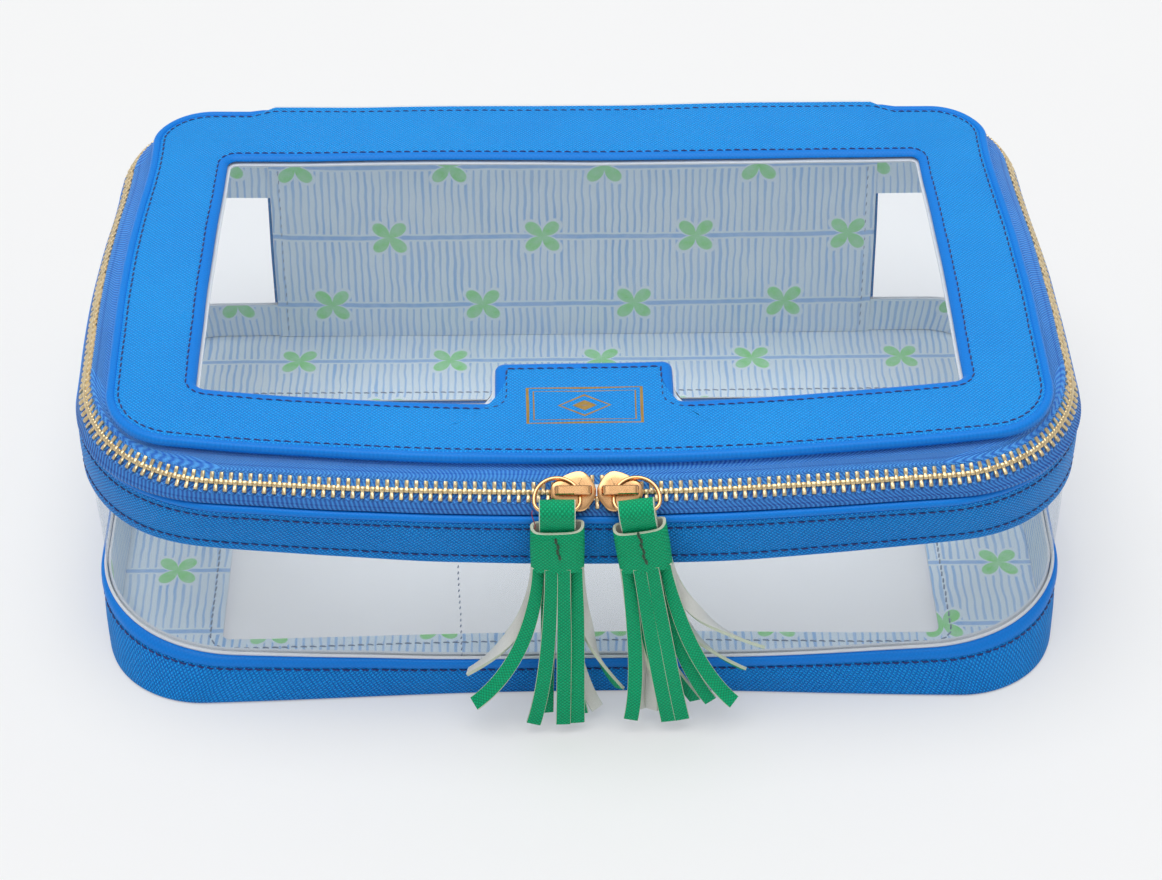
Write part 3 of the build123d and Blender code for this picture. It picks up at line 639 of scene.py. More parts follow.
# ---- stitches ----
def stitch_row(shape, line, up, pitch=2.9, length=2.2, radius=0.27, start=0.0, wobble=0.05):
    """Stitches along a line of points, each dipping into the surface at its ends."""
    line = np.asarray(line, float)
    up = np.broadcast_to(np.asarray(up, float), line.shape)
    s = lengths(line)
    dice = random.Random(len(line) + round(s[-1]))
    t = np.array([-0.5, -0.42, -0.2, 0.2, 0.42, 0.5])
    lift = np.array([-1.2, -0.1, 0.45, 0.45, -0.1, -1.2])
    size = np.array([0.5, 0.85, 1.0, 1.0, 0.85, 0.5])
    for i in range(int((s[-1] - start) / pitch)):
        at = start + (i + 0.5) * pitch + dice.gauss(0, wobble)
        places = at + t * length * dice.uniform(0.93, 1.05)
        centre = np.stack([np.interp(places, s, line[:, k]) for k in range(3)], -1)
        top = np.stack([np.interp(places, s, up[:, k]) for k in range(3)], -1)
        along = centre[-1] - centre[0]
        side = np.cross(along / np.linalg.norm(along), top[2])
        slant = side[None] * (t[:, None] * 0.25 + dice.gauss(0, 0.04))
        shape.tube(centre + top * (lift * radius)[:, None] + slant, top, size * radius, sides=6, flat=0.8)


def wall_line(z, depth, end):
    """A line on the body's wall and its outward direction, for stitches."""
    o = level(min(z, SHOULDER_Z))
    points, normals = run(o, end)
    line = np.c_[points - normals * depth, np.full(len(points), z)]
    return line, np.c_[normals, np.zeros(len(normals))]


# ---- the body's bands ----
def lower_band():
    outer = [(0.1, 2.6), (0.0, 1.7), (0.15, 0.95), (0.6, 0.35), (1.3, 0.06), (2.2, 0.0), (4.4, -0.12), (6.6, -0.2)]
    outer += [(8.6, -0.14), (10.0, 0.0), (10.5, 0.12), (10.9, 0.3), (11.2, 0.24), (11.6, 0.02)]
    bead = [(12.1, -0.22), (12.8, -0.36), (13.5, -0.3), (14.1, -0.02), (14.45, 0.45), (14.5, 0.95), (14.2, 1.4)]
    inner = [(13.4, 1.6), (9.0, 1.6), (4.0, 1.6), (1.2, 1.7)]
    profile = outer + bead + inner
    kinds = [0] * (len(outer) - 1) + [1] * (len(bead) + 1) + [0] * len(inner)
    shape = Shape()
    shape.grid(walls(profile, BACK_OPENING), wrap=True, kinds=kinds)
    make("lower_band_leather", shape, [band_leather_grazing_shade, blue_edge], "tray", ["lower_band"])
    stitches = Shape()
    stitch_row(stitches, *wall_line(10.9, 0.1, BACK_OPENING - 2))
    make("lower_band_stitches", stitches, navy_thread, "tray")


def upper_band():
    outer = [(58.3, 1.5), (57.9, 1.1), (57.85, 0.5), (58.2, 0.1), (59.0, -0.1), (60.2, -0.1), (61.0, 0.06)]
    outer += [(61.5, 0.22), (62.0, 0.06), (63.2, -0.18), (65.5, -0.3), (68.0, -0.34), (70.5, -0.3), (72.4, -0.16)]
    outer += [(73.3, 0.06), (73.8, 0.22), (74.3, 0.06), (75.2, 0.0), (75.9, 0.25), (76.2, 0.7)]
    inner = [(76.1, 1.5), (73.0, 1.6), (66.0, 1.6), (60.0, 1.6)]
    shape = Shape()
    shape.grid(walls(outer + inner, BACK_OPENING), wrap=True)
    make("upper_band_leather", shape, band_leather_grazing_shade, "tray", ["upper_band"])
    stitches = Shape()
    stitch_row(stitches, *wall_line(61.5, 0.05, BACK_OPENING - 2))
    stitch_row(stitches, *wall_line(73.8, 0.05, BACK_OPENING - 2), start=1.1)
    make("upper_band_stitches", stitches, navy_thread, "tray")


def circle_profile(z, depth, radius, flat=1.0, count=12):
    a = np.linspace(0, TAU, count, endpoint=False)
    return [(z + radius * flat * math.sin(b), depth + radius * math.cos(b)) for b in a]


def piping():
    """The round turned edge on top of the upper band, dying away at the back panel."""
    rows = np.array([row(SHOULDER, depth, z, HALF_PANEL + 0.2) for z, depth in circle_profile(77.15, 0.85, 1.3, 0.98)])
    shape = Shape()
    shape.grid(rows, wrap=True)
    make("shoulder_piping_leather", shape, blue_edge, "tray", ["shoulder_piping"])


# ---- flat rings: the base and the lid ----
def fillet_path(corners, radii, counts):
    """Points from corner to corner of an axis-aligned path, with rounded corners: counts are for runs and turns."""
    points = []
    here = np.array(corners[0], float)
    for i in range(1, len(corners)):
        corner = np.array(corners[i], float)
        along = (corner - here) / np.linalg.norm(corner - here)
        if i == len(corners) - 1:
            points.append(straight(here, corner, counts[2 * i - 2], ends=True)[0])
            break
        after = np.array(corners[i + 1], float) - corner
        after /= np.linalg.norm(after)
        r = radii[i - 1]
        start, end = corner - along * r, corner + after * r
        points.append(straight(here, start, counts[2 * i - 2])[0])
        t = np.linspace(0, math.pi / 2, counts[2 * i - 1], endpoint=False)[:, None]
        centre = start + after * r
        points.append(centre - after * r * np.cos(t) + along * r * np.sin(t))
        here = end
    return np.concatenate(points)


def window_loop(half, front, back, grow, z, tab=None, bow_radius=None):
    """A window's edge, grow outside it, with as many points as an outline's loop: tab is (half width, depth, x)."""
    r = WINDOW_CORNER + grow
    sides = []
    for side in (1, -1):
        corners = [(half + grow, front - grow), (half + grow, back + grow), (0, back + grow)]
        radii, counts = [r, r], [COUNTS[1], COUNTS[2], COUNTS[3], COUNTS[4]]
        if tab:
            width = tab[0] + side * tab[2] - grow
            top = front + tab[1] - grow
            corners = [(0, top), (width, top), (width, front - grow), *corners]
            radii, counts = [max(0.3, WINDOW_CORNER - grow), r, *radii], [16, 8, 12, 8, COUNTS[0] - 44, *counts]
        else:
            corners, counts = [(0, front - grow), *corners], [COUNTS[0], *counts]
        path = fillet_path(corners, radii, counts)
        if bow_radius:
            x, y = path[:, 0], path[:, 1]
            rise = bow_radius - np.sqrt(bow_radius**2 - x**2)
            path[:, 1] = y + rise * np.clip(1 - (y - front) / 40, 0, 1)
        sides.append(path * np.array([side, 1]))
    points = np.concatenate([sides[0], sides[1][-2:0:-1]])
    return np.c_[points, np.full(len(points), z)]


def flat_places(shape):
    """Take a flat piece's texture places from x and y."""
    points = np.concatenate(shape.points)
    shape.places = [(points[i][0], points[i][1]) for face in shape.faces for i in face]


def over_back(line):
    """1 along the middle of the lid's back edge, where the leather rolls over to the hinge, and 0 elsewhere."""
    return (smooth((106 - abs(line[:, 0])) / 7) * (line[:, 1] > 0))[:, None]


def lid_row(depth, z, rolled_depth, rolled_z):
    """The lid's outline at one depth and height, and at others where the leather rolls over its back edge."""
    usual, rolled = row(LID, depth, z), row(LID, rolled_depth, rolled_z)
    share = over_back(usual)
    return usual * (1 - share) + rolled * share


def between_loops(outer, inner, shares, heights):
    """Rows from one loop to another at the given shares of the way and heights."""
    rows = []
    for t, z in zip(shares, heights):
        line = outer + t * (inner - outer)
        line[:, 2] = z
        rows.append(line)
    return rows


def lid_window_loop(grow, z):
    radius = LID.bow_radius + LID.front - LID_WINDOW["front"]
    return window_loop(**LID_WINDOW, grow=grow, z=z, tab=(TAB_HALF, TAB_DEPTH, TAB_OFFSET), bow_radius=radius)


def base_window_loop(grow, z):
    return window_loop(**BASE_WINDOW, grow=grow, z=z)


RIM_STITCH, WINDOW_STITCH = 3.7, 3.3


def lid_leather():
    """The lid's leather frame: flat to a rolled edge round the window, with a stitched groove inside each edge."""
    top = LID_TOP_Z
    outer = [(RIM - 0.5, top - 0.75, 0.1, top - 2.6), (RIM, top - 0.35, 0.0, top - 1.3), (RIM + 0.5, top - 0.1, 0.5, top - 0.3)]
    outer += [(RIM_STITCH - 0.4, top - 0.03, 1.6, top + 0.12), (RIM_STITCH, top - 0.2, RIM_STITCH - 0.2, top - 0.12)]
    outer += [(RIM_STITCH + extra, z, RIM_STITCH + extra, z) for extra, z in ((0.5, top), (1.4, top + 0.08))]
    inner = [(WINDOW_STITCH + 1.2, top + 0.08), (WINDOW_STITCH + 0.5, top), (WINDOW_STITCH, top - 0.18)]
    roll = [(WINDOW_STITCH - 0.5, top), (2.2, top + 0.12), (1.5, top + 0.02), (0.8, top - 0.3), (0.25, top - 0.75), (0.0, top - 1.2)]
    rows = [lid_row(*place) for place in outer]
    rows += between_loops(rows[-1], lid_window_loop(inner[0][0], top), (0.25, 0.5, 0.75), (top + 0.1,) * 3)
    rows += [lid_window_loop(grow, z) for grow, z in inner + roll]
    rows += [lid_window_loop(0.5, top - 1.38), lid_window_loop(6, top - 1.4), row(LID, RIM + 2, top - 1.4), row(LID, RIM - 0.4, top - 1.4)]
    kinds = [0] * (len(outer) + 3 + len(inner) - 1) + [1] * (len(roll) + 1) + [0] * 4
    shape = Shape()
    shape.grid(rows, wrap=True, ring=True, kinds=kinds)
    flat_places(shape)
    make("lid_leather", shape, [blue_leather, blue_edge], "lid", ["lid_frame"], step=True)
    stitches = Shape()
    for line in (row(LID, RIM_STITCH, top - 0.12), lid_window_loop(WINDOW_STITCH, top - 0.1)):
        stitch_row(stitches, np.concatenate([line, line[:1]]), (0, 0, 1))
    make("lid_stitches", stitches, navy_thread, "lid", step=True)


def lid_binding():
    """The rounded binding round the lid."""
    low, high = LID_BOTTOM_Z, LID_TOP_Z
    profile = [(low + 0.05, 1.5), (low - 0.05, 0.8), (low + 0.2, 0.2), (low + 0.7, -0.06), (low + 1.35, -0.1)]
    profile += [(high - 0.7, -0.02), (high - 0.2, 0.25), (high + 0.12, 0.75), (high + 0.2, 1.35), (high + 0.1, 1.95)]
    profile += [(high - 0.15, 2.4), (high - 0.6, 2.6), (low + 0.4, 2.6)]
    shape = Shape()
    shape.grid([lid_row(d, z, max(d, 0.5) + 0.3, min(z, high - 1.2)) for z, d in profile], wrap=True, ring=True)
    make("lid_binding", shape, blue_edge, "lid", ["lid_rim"], step=True)


def lid_inside():
    """The lid's lining, printed below and white at its edge round the window."""
    rows = [row(LID, RIM + 0.1, LID_BOTTOM_Z + 0.25)]
    rows += between_loops(rows[0], lid_window_loop(0.3, 0), (0.35, 0.7), (LID_BOTTOM_Z + 0.25,) * 2)
    rows += [lid_window_loop(grow, LID_BOTTOM_Z + 0.25) for grow in (1.5, -0.9)]
    shape = Shape()
    shape.sheet(rows, LINING, ring=True, kinds=(1, 0, 1))
    flat_places(shape)
    piece = make("lid_lining_cloth", shape, [lining_print, white_edge], "lid", ["lid_lining"])
    seam = Shape()
    line = lid_window_loop(WINDOW_STITCH, LID_BOTTOM_Z - 0.02)
    stitch_row(seam, np.concatenate([line, line[:1]]), (0, 0, -1))
    make("lid_lining_stitches", seam, pale_thread, "lid")
    return piece


def window_sheet(name, half, front, back, z, body, node, bow_radius=None, cells=(90, 56)):
    """A clear window, a little wavy."""
    x = np.linspace(-half, half, cells[0])
    rows = []
    for y in np.linspace(front, back, cells[1]):
        rise = (bow_radius - np.sqrt(bow_radius**2 - x**2)) * (back - y) / (back - front) if bow_radius else x * 0
        rows.append(np.c_[x, y + rise, np.full(len(x), z)])
    shape = Shape()
    shape.sheet(rows, PVC - 0.1)
    flat_places(shape)
    make(name, shape, clear_sheet, body, [node])


def windows():
    over = WINDOW_OVERLAP - 0.5
    w = LID_WINDOW
    radius = LID.bow_radius + LID.front - w["front"]
    z = LID_LAYER_Z + PVC / 2
    window_sheet("lid_clear", w["half"] + over, w["front"] - over, w["back"] + over, z, "lid", "lid_window", radius)
    w = BASE_WINDOW
    z = BASE_LAYER_Z + PVC / 2
    window_sheet("base_clear", w["half"] + over, w["front"] - over, w["back"] + over, z, "tray", "base_window")


def base_leather():
    """The leather underside round the base window."""
    outline = replace(level(0), z=0)
    outer = [row(outline, depth, z) for depth, z in ((2.3, 1.4), (2.0, 0.9), (2.1, 0.35), (2.6, 0.08), (3.4, 0.0))]
    inner = [base_window_loop(grow, z) for grow, z in ((3.9, 0.0), (3.3, 0.16), (2.7, 0.0), (1.2, 0.06), (0.3, 0.4), (0.0, 0.9), (0.1, 1.5))]
    rows = outer + between_loops(outer[-1], inner[0], (0.3, 0.6), (0.0, 0.0)) + inner
    rows += [base_window_loop(4, 1.55), row(outline, 6, 1.55)]
    shape = Shape()
    shape.grid(rows, wrap=True, ring=True, kinds=[0] * (len(outer) + 4) + [1] * (len(inner) - 2) + [0] * 2)
    flat_places(shape)
    make("base_leather", shape, [blue_leather, blue_edge], "tray", ["base_frame"])
    stitches = Shape()
    line = base_window_loop(3.3, 0.1)
    stitch_row(stitches, np.concatenate([line, line[:1]]), (0, 0, -1))
    make("base_stitches", stitches, navy_thread, "tray")


def base_inside():
    z = BASE_LINING_Z + LINING / 2
    outline = level(z)
    rows = [row(outline, LAYER_DEPTH + 0.3, z)]
    rows += between_loops(rows[0], base_window_loop(0.4, 0), (0.35, 0.7), (z, z))
    rows += [base_window_loop(grow, z) for grow in (1.5, -0.6)]
    shape = Shape()
    shape.sheet(rows, LINING, ring=True, kinds=(0, 1, 1))
    flat_places(shape)
    piece = make("base_lining_cloth", shape, [lining_print, white_edge], "tray", ["base_lining"])
    seam = Shape()
    line = base_window_loop(3.3, z + LINING / 2)
    stitch_row(seam, np.concatenate([line, line[:1]]), (0, 0, 1))
    make("base_lining_stitches", seam, pale_thread, "tray")


# ---- the clear wall and the bands' linings ----
def clear_wall():
    heights = np.linspace(BAND_TOP_Z - 7.5, BELT_Z + 4.5, 26)
    rows = walls([(z, LAYER_DEPTH + PVC / 2) for z in heights], BACK_OPENING)
    rise = np.sin(math.pi * np.clip((heights - BAND_TOP_Z) / (BELT_Z - BAND_TOP_Z), 0, 1))[:, None]
    out = grid_normals(rows)
    out *= np.sign((out[..., :1] * rows[..., :1] + out[..., 1:2] * rows[..., 1:2]).mean())
    rows = rows + out * ((waves(rows, 21, 60, 0.35) - 0.25) * rise)[..., None]
    shape = Shape()
    shape.sheet(rows, PVC - 0.1)
    make("wall_clear", shape, clear_sheet, "tray", ["clear_wall"])
    seam = Shape()
    line = np.array([[-36.6, row_front(z) + LAYER_DEPTH - 0.05, z] for z in np.linspace(BAND_TOP_Z, BELT_Z, 30)])
    stitch_row(seam, line, (0, -1, 0), pitch=2.6, length=1.0, radius=0.22)
    make("wall_seam_stitches", seam, pale_thread, "tray")


def row_front(z):
    """The front's y at the seam's place and height z."""
    points, _ = run(level(z), BACK_OPENING)
    return float(np.interp(-36.6, points[60:240, 0], points[60:240, 1]))


def lower_welt():
    """The white edge between the lower band's bead and the clear wall."""
    rows = walls(circle_profile(BAND_TOP_Z + 0.35, 1.45, 0.5, 1.15), BACK_OPENING)
    shape = Shape()
    shape.grid(rows, wrap=True)
    make("lower_band_welt", shape, white_edge, "tray")


def band_linings():
    for name, low, high, count, flat, area in (
        ("lower_band", FLOOR_Z + 0.3, BAND_TOP_Z + 1.1, 8, (0.0130, 0.72), 0.0092),
        ("upper_band", BELT_Z - 0.2, SHOULDER_Z - 1.2, 10, (0.0188, 0.69), 0.0125),
    ):
        rows = walls([(z, LINING_DEPTH + 0.25) for z in np.linspace(low, high, count)], BACK_OPENING)
        shape = Shape()
        shape.sheet(rows, LINING + 0.2, kinds=(1, 0, 1))
        piece = make(f"{name}_lining_cloth", shape, [lining_print, white_edge], "tray", [f"{name}_lining"])


# ---- the back ----
def back_y(z):
    """The back's own surface at height z: the wall's, then straight to the hinge."""
    if z <= SHOULDER_Z:
        return level(z).back
    return SHOULDER.back + (LID.back - SHOULDER.back) * (z - SHOULDER_Z) / (HINGE_Z - SHOULDER_Z)


def back_leather():
    """One sheet from the underside up the back, over the hinge and onto the lid."""
    outer = [(back_y(0) - 1.5, 0.35), (back_y(0) + 0.4, 0.3), (back_y(1) + 1.1, 0.9)]
    outer += [(back_y(z) + 1.0, z) for z in (2.0, 8, 14, 22, 30, 38, 46, 54, 62, 70, 75, 79, 82, 84)]
    outer += [(93.0, 85.6), (93.2, 86.8), (93.25, 87.8), (93.2, 88.6), (92.9, 89.6), (92.4, 90.2), (91.6, 90.5), (90.6, 90.6)]
    line = np.array(outer)
    x = np.linspace(-HALF_PANEL, HALF_PANEL, 120)
    edge = smooth((HALF_PANEL - abs(x)) / 1.6)
    rows = []
    for y, z in line:
        narrow = 1 - 0.04 * smooth((z - 83) / 5)
        rows.append(np.c_[x * narrow, np.full(len(x), y) - 0.35 * (1 - edge), np.full(len(x), z)])
    rows = smooth_rows(rows, 90)
    shape = Shape()
    shape.sheet(rows, 1.2, kinds=(0, 1, 0), v=lengths(rows[:, 60]))
    piece = make("back_leather", shape, [blue_leather, white_edge], None, ["back_panel", "hinge_strip"])
    y = (LID.back + SHIFT[1]) * MM
    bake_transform(piece)
    stitches = Shape()
    for side in (-1, 1):
        heights = np.linspace(3, 80, 60)
        line = np.array([[side * (HALF_PANEL - 3), back_y(z) + 1.62, z] for z in heights])
        stitch_row(stitches, line, (0, 1, 0))
    line = np.array([[x, back_y(79.5) + 1.62, 79.5] for x in np.linspace(-HALF_PANEL + 3, HALF_PANEL - 3, 100)])
    stitch_row(stitches, line, (0, 1, 0))
    make("back_stitches", stitches, navy_thread, "tray")


def back_inside():
    low, high = FLOOR_Z + 0.2, HINGE_Z - 3
    heights = np.linspace(low, high, 40)
    x = np.linspace(-HALF_LINING, HALF_LINING, 110)
    depth = BACK_LINING_DEPTH + LINING / 2
    rows = np.array([np.c_[x, np.full(len(x), back_y(z) - depth), np.full(len(x), z)] for z in heights])
    puff = smooth((HALF_LINING - abs(x)) / 6) * np.sin(math.pi * np.clip((heights - low) / (high - low), 0, 1))[:, None] ** 0.5
    rows[..., 1] -= 0.8 * puff
    shape = Shape()
    shape.sheet(rows, LINING, kinds=(0, 1, 1))
    lining = make("back_lining_cloth", shape, [lining_print, white_edge], "tray", ["back_lining"])
    seam = Shape()
    for side in (-1, 1):
        line = np.array([[side * (HALF_LINING - 3.2), back_y(z) - depth - 0.6, z] for z in np.linspace(low + 2, high - 3, 60)])
        stitch_row(seam, line, (0, -1, 0), pitch=3.4, length=1.7, radius=0.16)
    make("back_lining_stitches", seam, pale_thread, "tray")
    pad = Shape()
    rows = np.array([np.c_[x * 0.97, np.full(len(x), back_y(z) - 1.5), np.full(len(x), z)] for z in np.linspace(low + 1, HINGE_Z - 7, 30)])
    swell = smooth((HALF_LINING - abs(x)) / 12)[None, :] * smooth(np.linspace(0, 8, 30))[:, None] * smooth(np.linspace(8, 0, 30))[:, None]
    n = np.zeros_like(rows)
    n[..., 1] = 0.5 + 0.7 * swell
    pad.grid(np.concatenate([rows + n, (rows - n)[::-1]]), wrap=True)
    padding = make("back_foam", pad, foam, "tray", ["back_padding"])
    return lining


# ---- the zip ----
def chain_run():
    """The chain's middle line from the front's middle to its right end: places along it and points."""
    points, normals = half_run(CHAIN, HALF_PANEL + 1.0)
    return lengths(np.c_[points, points[:, :1] * 0]), points, normals


CHAIN_S, CHAIN_POINTS, CHAIN_NORMALS = chain_run()


def chain_frame(s):
    """The chain at s along it: its middle, and the directions along it, up the tape and outwards."""
    at = np.array([np.interp(abs(s), CHAIN_S, CHAIN_POINTS[:, k]) for k in (0, 1)])
    out = np.array([np.interp(abs(s), CHAIN_S, CHAIN_NORMALS[:, k]) for k in (0, 1)])
    out /= np.linalg.norm(out)
    if s < 0:
        at, out = at * MIRROR, out * MIRROR
    run_in = SIDE_RUN * abs(out[0]) + (FRONT_RUN if out[1] < 0 else BACK_RUN) * abs(out[1])
    along = np.array([-out[1], out[0], 0])
    up = np.array([-out[0] * run_in, -out[1] * run_in, 1])
    up /= np.linalg.norm(up)
    outward = np.cross(along, up)
    return np.array([at[0], at[1], CHAIN_Z]), along, up, outward


def spread(s):
    """How far the rows part on their way into the sliders."""
    return SPREAD * smooth((SPREAD_END - abs(s - MEETING)) / (SPREAD_END - SPREAD_FULL))


def part_rows(rows, side, amounts):
    """Tape rows moved apart where the sliders are: amounts is each row's share."""
    rows = np.array(rows)
    middle = rows.shape[1] // 2
    s = lengths(rows[0]) - lengths(rows[0])[middle]
    for i, share in enumerate(amounts):
        for j in np.nonzero(abs(s - MEETING) < SPREAD_END)[0]:
            up = chain_frame(s[j])[2]
            rows[i, j] += up * side * spread(s[j]) * share
    return rows


def tapes():
    foot = [row(level(z), LAYER_DEPTH + 0.35, z, BACK_OPENING) for z in (68.0, 73.0)]
    over = [row(SHOULDER, 2.05, 77.6, BACK_OPENING), row(SHOULDER, 2.6, 78.9, BACK_OPENING)]
    slope = [row(chain_level(rise), 0, None, BACK_OPENING) for rise in (-TAPE_FLAT, -3.0, -2.0, -0.25)]
    rows = part_rows(smooth_rows(foot + over + slope, 29), -1, np.linspace(0, 1, 29) ** 3)
    shape = Shape()
    v = lengths(rows[:, rows.shape[1] // 2])
    shape.sheet(rows, TAPE, v=v[-1] - v)
    make("lower_tape_twill", shape, low_tape, "tray", ["lower_zip_tape"])

    slope = [row(chain_level(rise), 0, None, BACK_OPENING) for rise in (0.25, 2.0, TOOTH_ROOT + 0.2)]
    rim = [row(LID, 1.0, 87.6, BACK_OPENING), row(LID, 1.5, 88.9, BACK_OPENING), row(LID, 2.2, 89.4, BACK_OPENING)]
    rows = part_rows(smooth_rows(slope + rim, 25), 1, np.linspace(1, 0, 25) ** 2)
    shape = Shape()
    shape.sheet(rows, TAPE, v=lengths(rows[:, rows.shape[1] // 2]))
    make("upper_tape_twill", shape, blue_tape, "lid", ["upper_zip_tape"])


def section_ring(half_width, half_thick, corner=0.35):
    """Eight points of a rounded rectangle."""
    w, t, k = half_width, half_thick, corner
    return [(w, -t + k), (w, t - k), (w - k, t), (-w + k, t), (-w, t - k), (-w, -t + k), (-w + k, -t), (w - k, -t)]


# A tooth from its root to its tip: place up the tape, half width, half thickness.
TOOTH = [
    (2.9, 0.46, 0.8),
    (2.82, 0.58, 0.94),
    (2.3, 0.6, 1.0),
    (1.3, 0.58, 0.98),
    (0.98, 0.5, 0.84),
    (0.75, 0.54, 0.92),
    (0.5, 0.68, 1.06),
    (-0.2, 0.7, 1.08),
    (-0.6, 0.66, 1.0),
    (-0.76, 0.5, 0.8),
]
STOP = [(3.0, 0.3, 0.8), (2.8, 0.6, 1.15), (1.6, 0.62, 1.2), (0.4, 0.6, 1.15), (0.1, 0.4, 0.9)]


def crimped(shape, sections, s, side, turn=0.0):
    """A tooth or stop on the chain at s: side is 1 for the lid's row, -1 for the body's."""
    at, along, up, out = chain_frame(s)
    at = at + up * side * spread(s)
    along = along + out * turn
    rows = [[at + along * a + up * side * y + out * b for a, b in section_ring(w, t, min(w, t) * 0.3)] for y, w, t in sections]
    shape.grid(np.array(rows), ring=True, caps=True)


def teeth():
    count = int((CHAIN_S[-1] - PITCH) / PITCH)
    knots = {1: Shape(), -1: Shape()}
    for side, body, name in ((1, "lid", "upper"), (-1, "tray", "lower")):
        dice = random.Random(side + 7)
        shape = Shape()
        for i in range(-count, count + (side > 0)):
            s = (i if side > 0 else i + 0.5) * PITCH
            crimped(shape, TOOTH, s, side, dice.gauss(0, 0.035))
            if abs(s - MEETING) > SPREAD_END:
                at, along, up, out = chain_frame(s + PITCH / 2)
                centre = at + up * side * 3.1 + out * 0.22
                line = [centre + along * t for t in (-0.85, -0.5, 0, 0.5, 0.85)]
                knots[side].tube(line, out, np.array([0.1, 0.4, 0.5, 0.4, 0.1]), sides=6, flat=0.8)
        make(f"{name}_teeth_brass", shape, brass, body, [f"{name}_zip_teeth"])
        make(f"{name}_tape_knuckles", knots[side], blue_tape, body)
        stops = Shape()
        for end in (-1, 1):
            crimped(stops, STOP, end * (CHAIN_S[-1] - 0.5), side)
        make(f"{name}_stops_brass", stops, brass, body, [f"{name}_end_stops"])


# ---- sliders ----
def slider_frame(side):
    """A slider's middle, and its axes: towards its tail, up the tape, and outwards."""
    at, along, up, out = chain_frame(MEETING + side * (SLIDER_LENGTH + SLIDER_GAP) / 2)
    return at, along * side, up, out


def placed(points, side):
    at, x, y, z = slider_frame(side)
    points = np.asarray(points, float)
    return at + points[..., :1] * x + points[..., 1:2] * y + points[..., 2:3] * z


def heart(grow, count=72):
    """The plate's outline: wide and rounded towards the meeting sliders, narrow at the tail."""
    a = np.linspace(0, TAU, count, endpoint=False)
    x = 6.5 * np.sign(np.cos(a)) * abs(np.cos(a)) ** 0.82
    belly = 5.9 - 1.9 * smooth((x + 2.2) / 8.2) - 2.3 * smooth((-x - 2.6) / 4.0) ** 1.6
    y = belly * np.sign(np.sin(a)) * abs(np.sin(a)) ** 0.72
    points = np.c_[x, y]
    ahead, behind = np.roll(points, -1, 0), np.roll(points, 1, 0)
    n = ahead - behind
    n = np.c_[n[:, 1], -n[:, 0]] / np.linalg.norm(n, axis=1, keepdims=True)
    return points + n * grow


def dome(shape, steps, side):
    """A plate from (inset, height) steps, closed by a fan at its middle."""
    rows = [np.c_[heart(-inset), np.full(72, z)] for inset, z in steps]
    rows = [placed(r, side) for r in rows]
    shape.grid(np.array(rows), ring=True, caps=True)


def sliders():
    for name, side in (("left", -1), ("right", 1)):
        body = f"{name}_slider_body"
        middle = slider_frame(side)[0]
        top = INNER_FACE + PLATE
        shape = Shape()
        steps = [(2.6, INNER_FACE - 0.02), (0.9, INNER_FACE - 0.05), (0.55, TAPE_SLOT / 2), (0.1, TAPE_SLOT / 2 + 0.05), (0, TAPE_SLOT / 2 + 0.3)]
        steps += [(0, top - 0.45), (0.12, top - 0.15), (0.4, top), (0.9, top + 0.08), (2.0, top + 0.14), (3.6, top + 0.16)]
        dome(shape, steps, side)
        dome(shape, [(1.6, -INNER_FACE), (0.9, -INNER_FACE), (0.8, -INNER_FACE - 0.2), (0.85, -INNER_FACE - 0.8), (1.2, -INNER_FACE - BACK_PLATE), (3.0, -INNER_FACE - BACK_PLATE)], side)
        post = [(-0.9, 0), (-1.6, 0.75), (-3.4, 0.75), (-4.2, 0), (-3.4, -0.75), (-1.6, -0.75)]
        rows = [placed([(x, y, z) for x, y in post], side) for z in (-INNER_FACE - 0.2, INNER_FACE + 0.2)]
        shape.grid(np.array(rows), ring=True, caps=True)
        make(f"{name}_slider_metal", shape, rose_gold, body, [f"{name}_slider"], rigid=middle, sharp=40)
        make(f"{name}_bridge_metal", bridge(side), rose_gold, body, [f"{name}_bridge"], rigid=middle, sharp=35)
        make(f"{name}_ring_metal", ring(side), rose_gold, f"{name}_ring_body", [f"{name}_ring"], rigid=middle, sharp=60)


def bridge(side):
    """A flat bar that bends down to the plate at each end."""
    half, top, foot = (BRIDGE_LENGTH - BRIDGE_BAR) / 2, INNER_FACE + PLATE + BRIDGE_HOLE + BRIDGE_BAR / 2, INNER_FACE + PLATE - 0.3
    r = 0.75
    bend = [(half - r + r * math.sin(t), top - r + r * math.cos(t)) for t in np.linspace(0, math.pi / 2, 7)]
    right = bend + [(half, top - 1.6), (half, foot)]
    path = [(-x, z) for x, z in right[::-1]] + [(x, z) for x, z in np.c_[np.linspace(-half + r, half - r, 9)[1:-1], np.full(7, top)]] + right
    line = np.array([(x, 0, z) for x, z in path])
    along = np.gradient(line, axis=0)
    along /= np.linalg.norm(along, axis=1, keepdims=True)
    out = np.cross(along, (0, 1, 0))
    rows = []
    for at, o in zip(line, out):
        section = section_ring(BRIDGE_WIDTH / 2, BRIDGE_BAR / 2, 0.28)
        rows.append([at + np.array([0, a, 0]) + o * b for a, b in section])
    shape = Shape()
    shape.grid(placed(np.array(rows), side), ring=True, caps=True)
    return shape


TOP_REACH = (RING_HEIGHT - RING_WIRE) / 2
RING_RISE = INNER_FACE + PLATE + 0.1 + RING_WIRE / 2 + TOP_REACH * math.sin(math.radians(RING_TILT))


def ring_point(x, y):
    """A point of the ring's own plane, in a slider's frame."""
    c, s = math.cos(math.radians(RING_TILT)), math.sin(math.radians(RING_TILT))
    return (RING_SHIFT + x, -RING_DROP + y * c, RING_RISE - y * s)


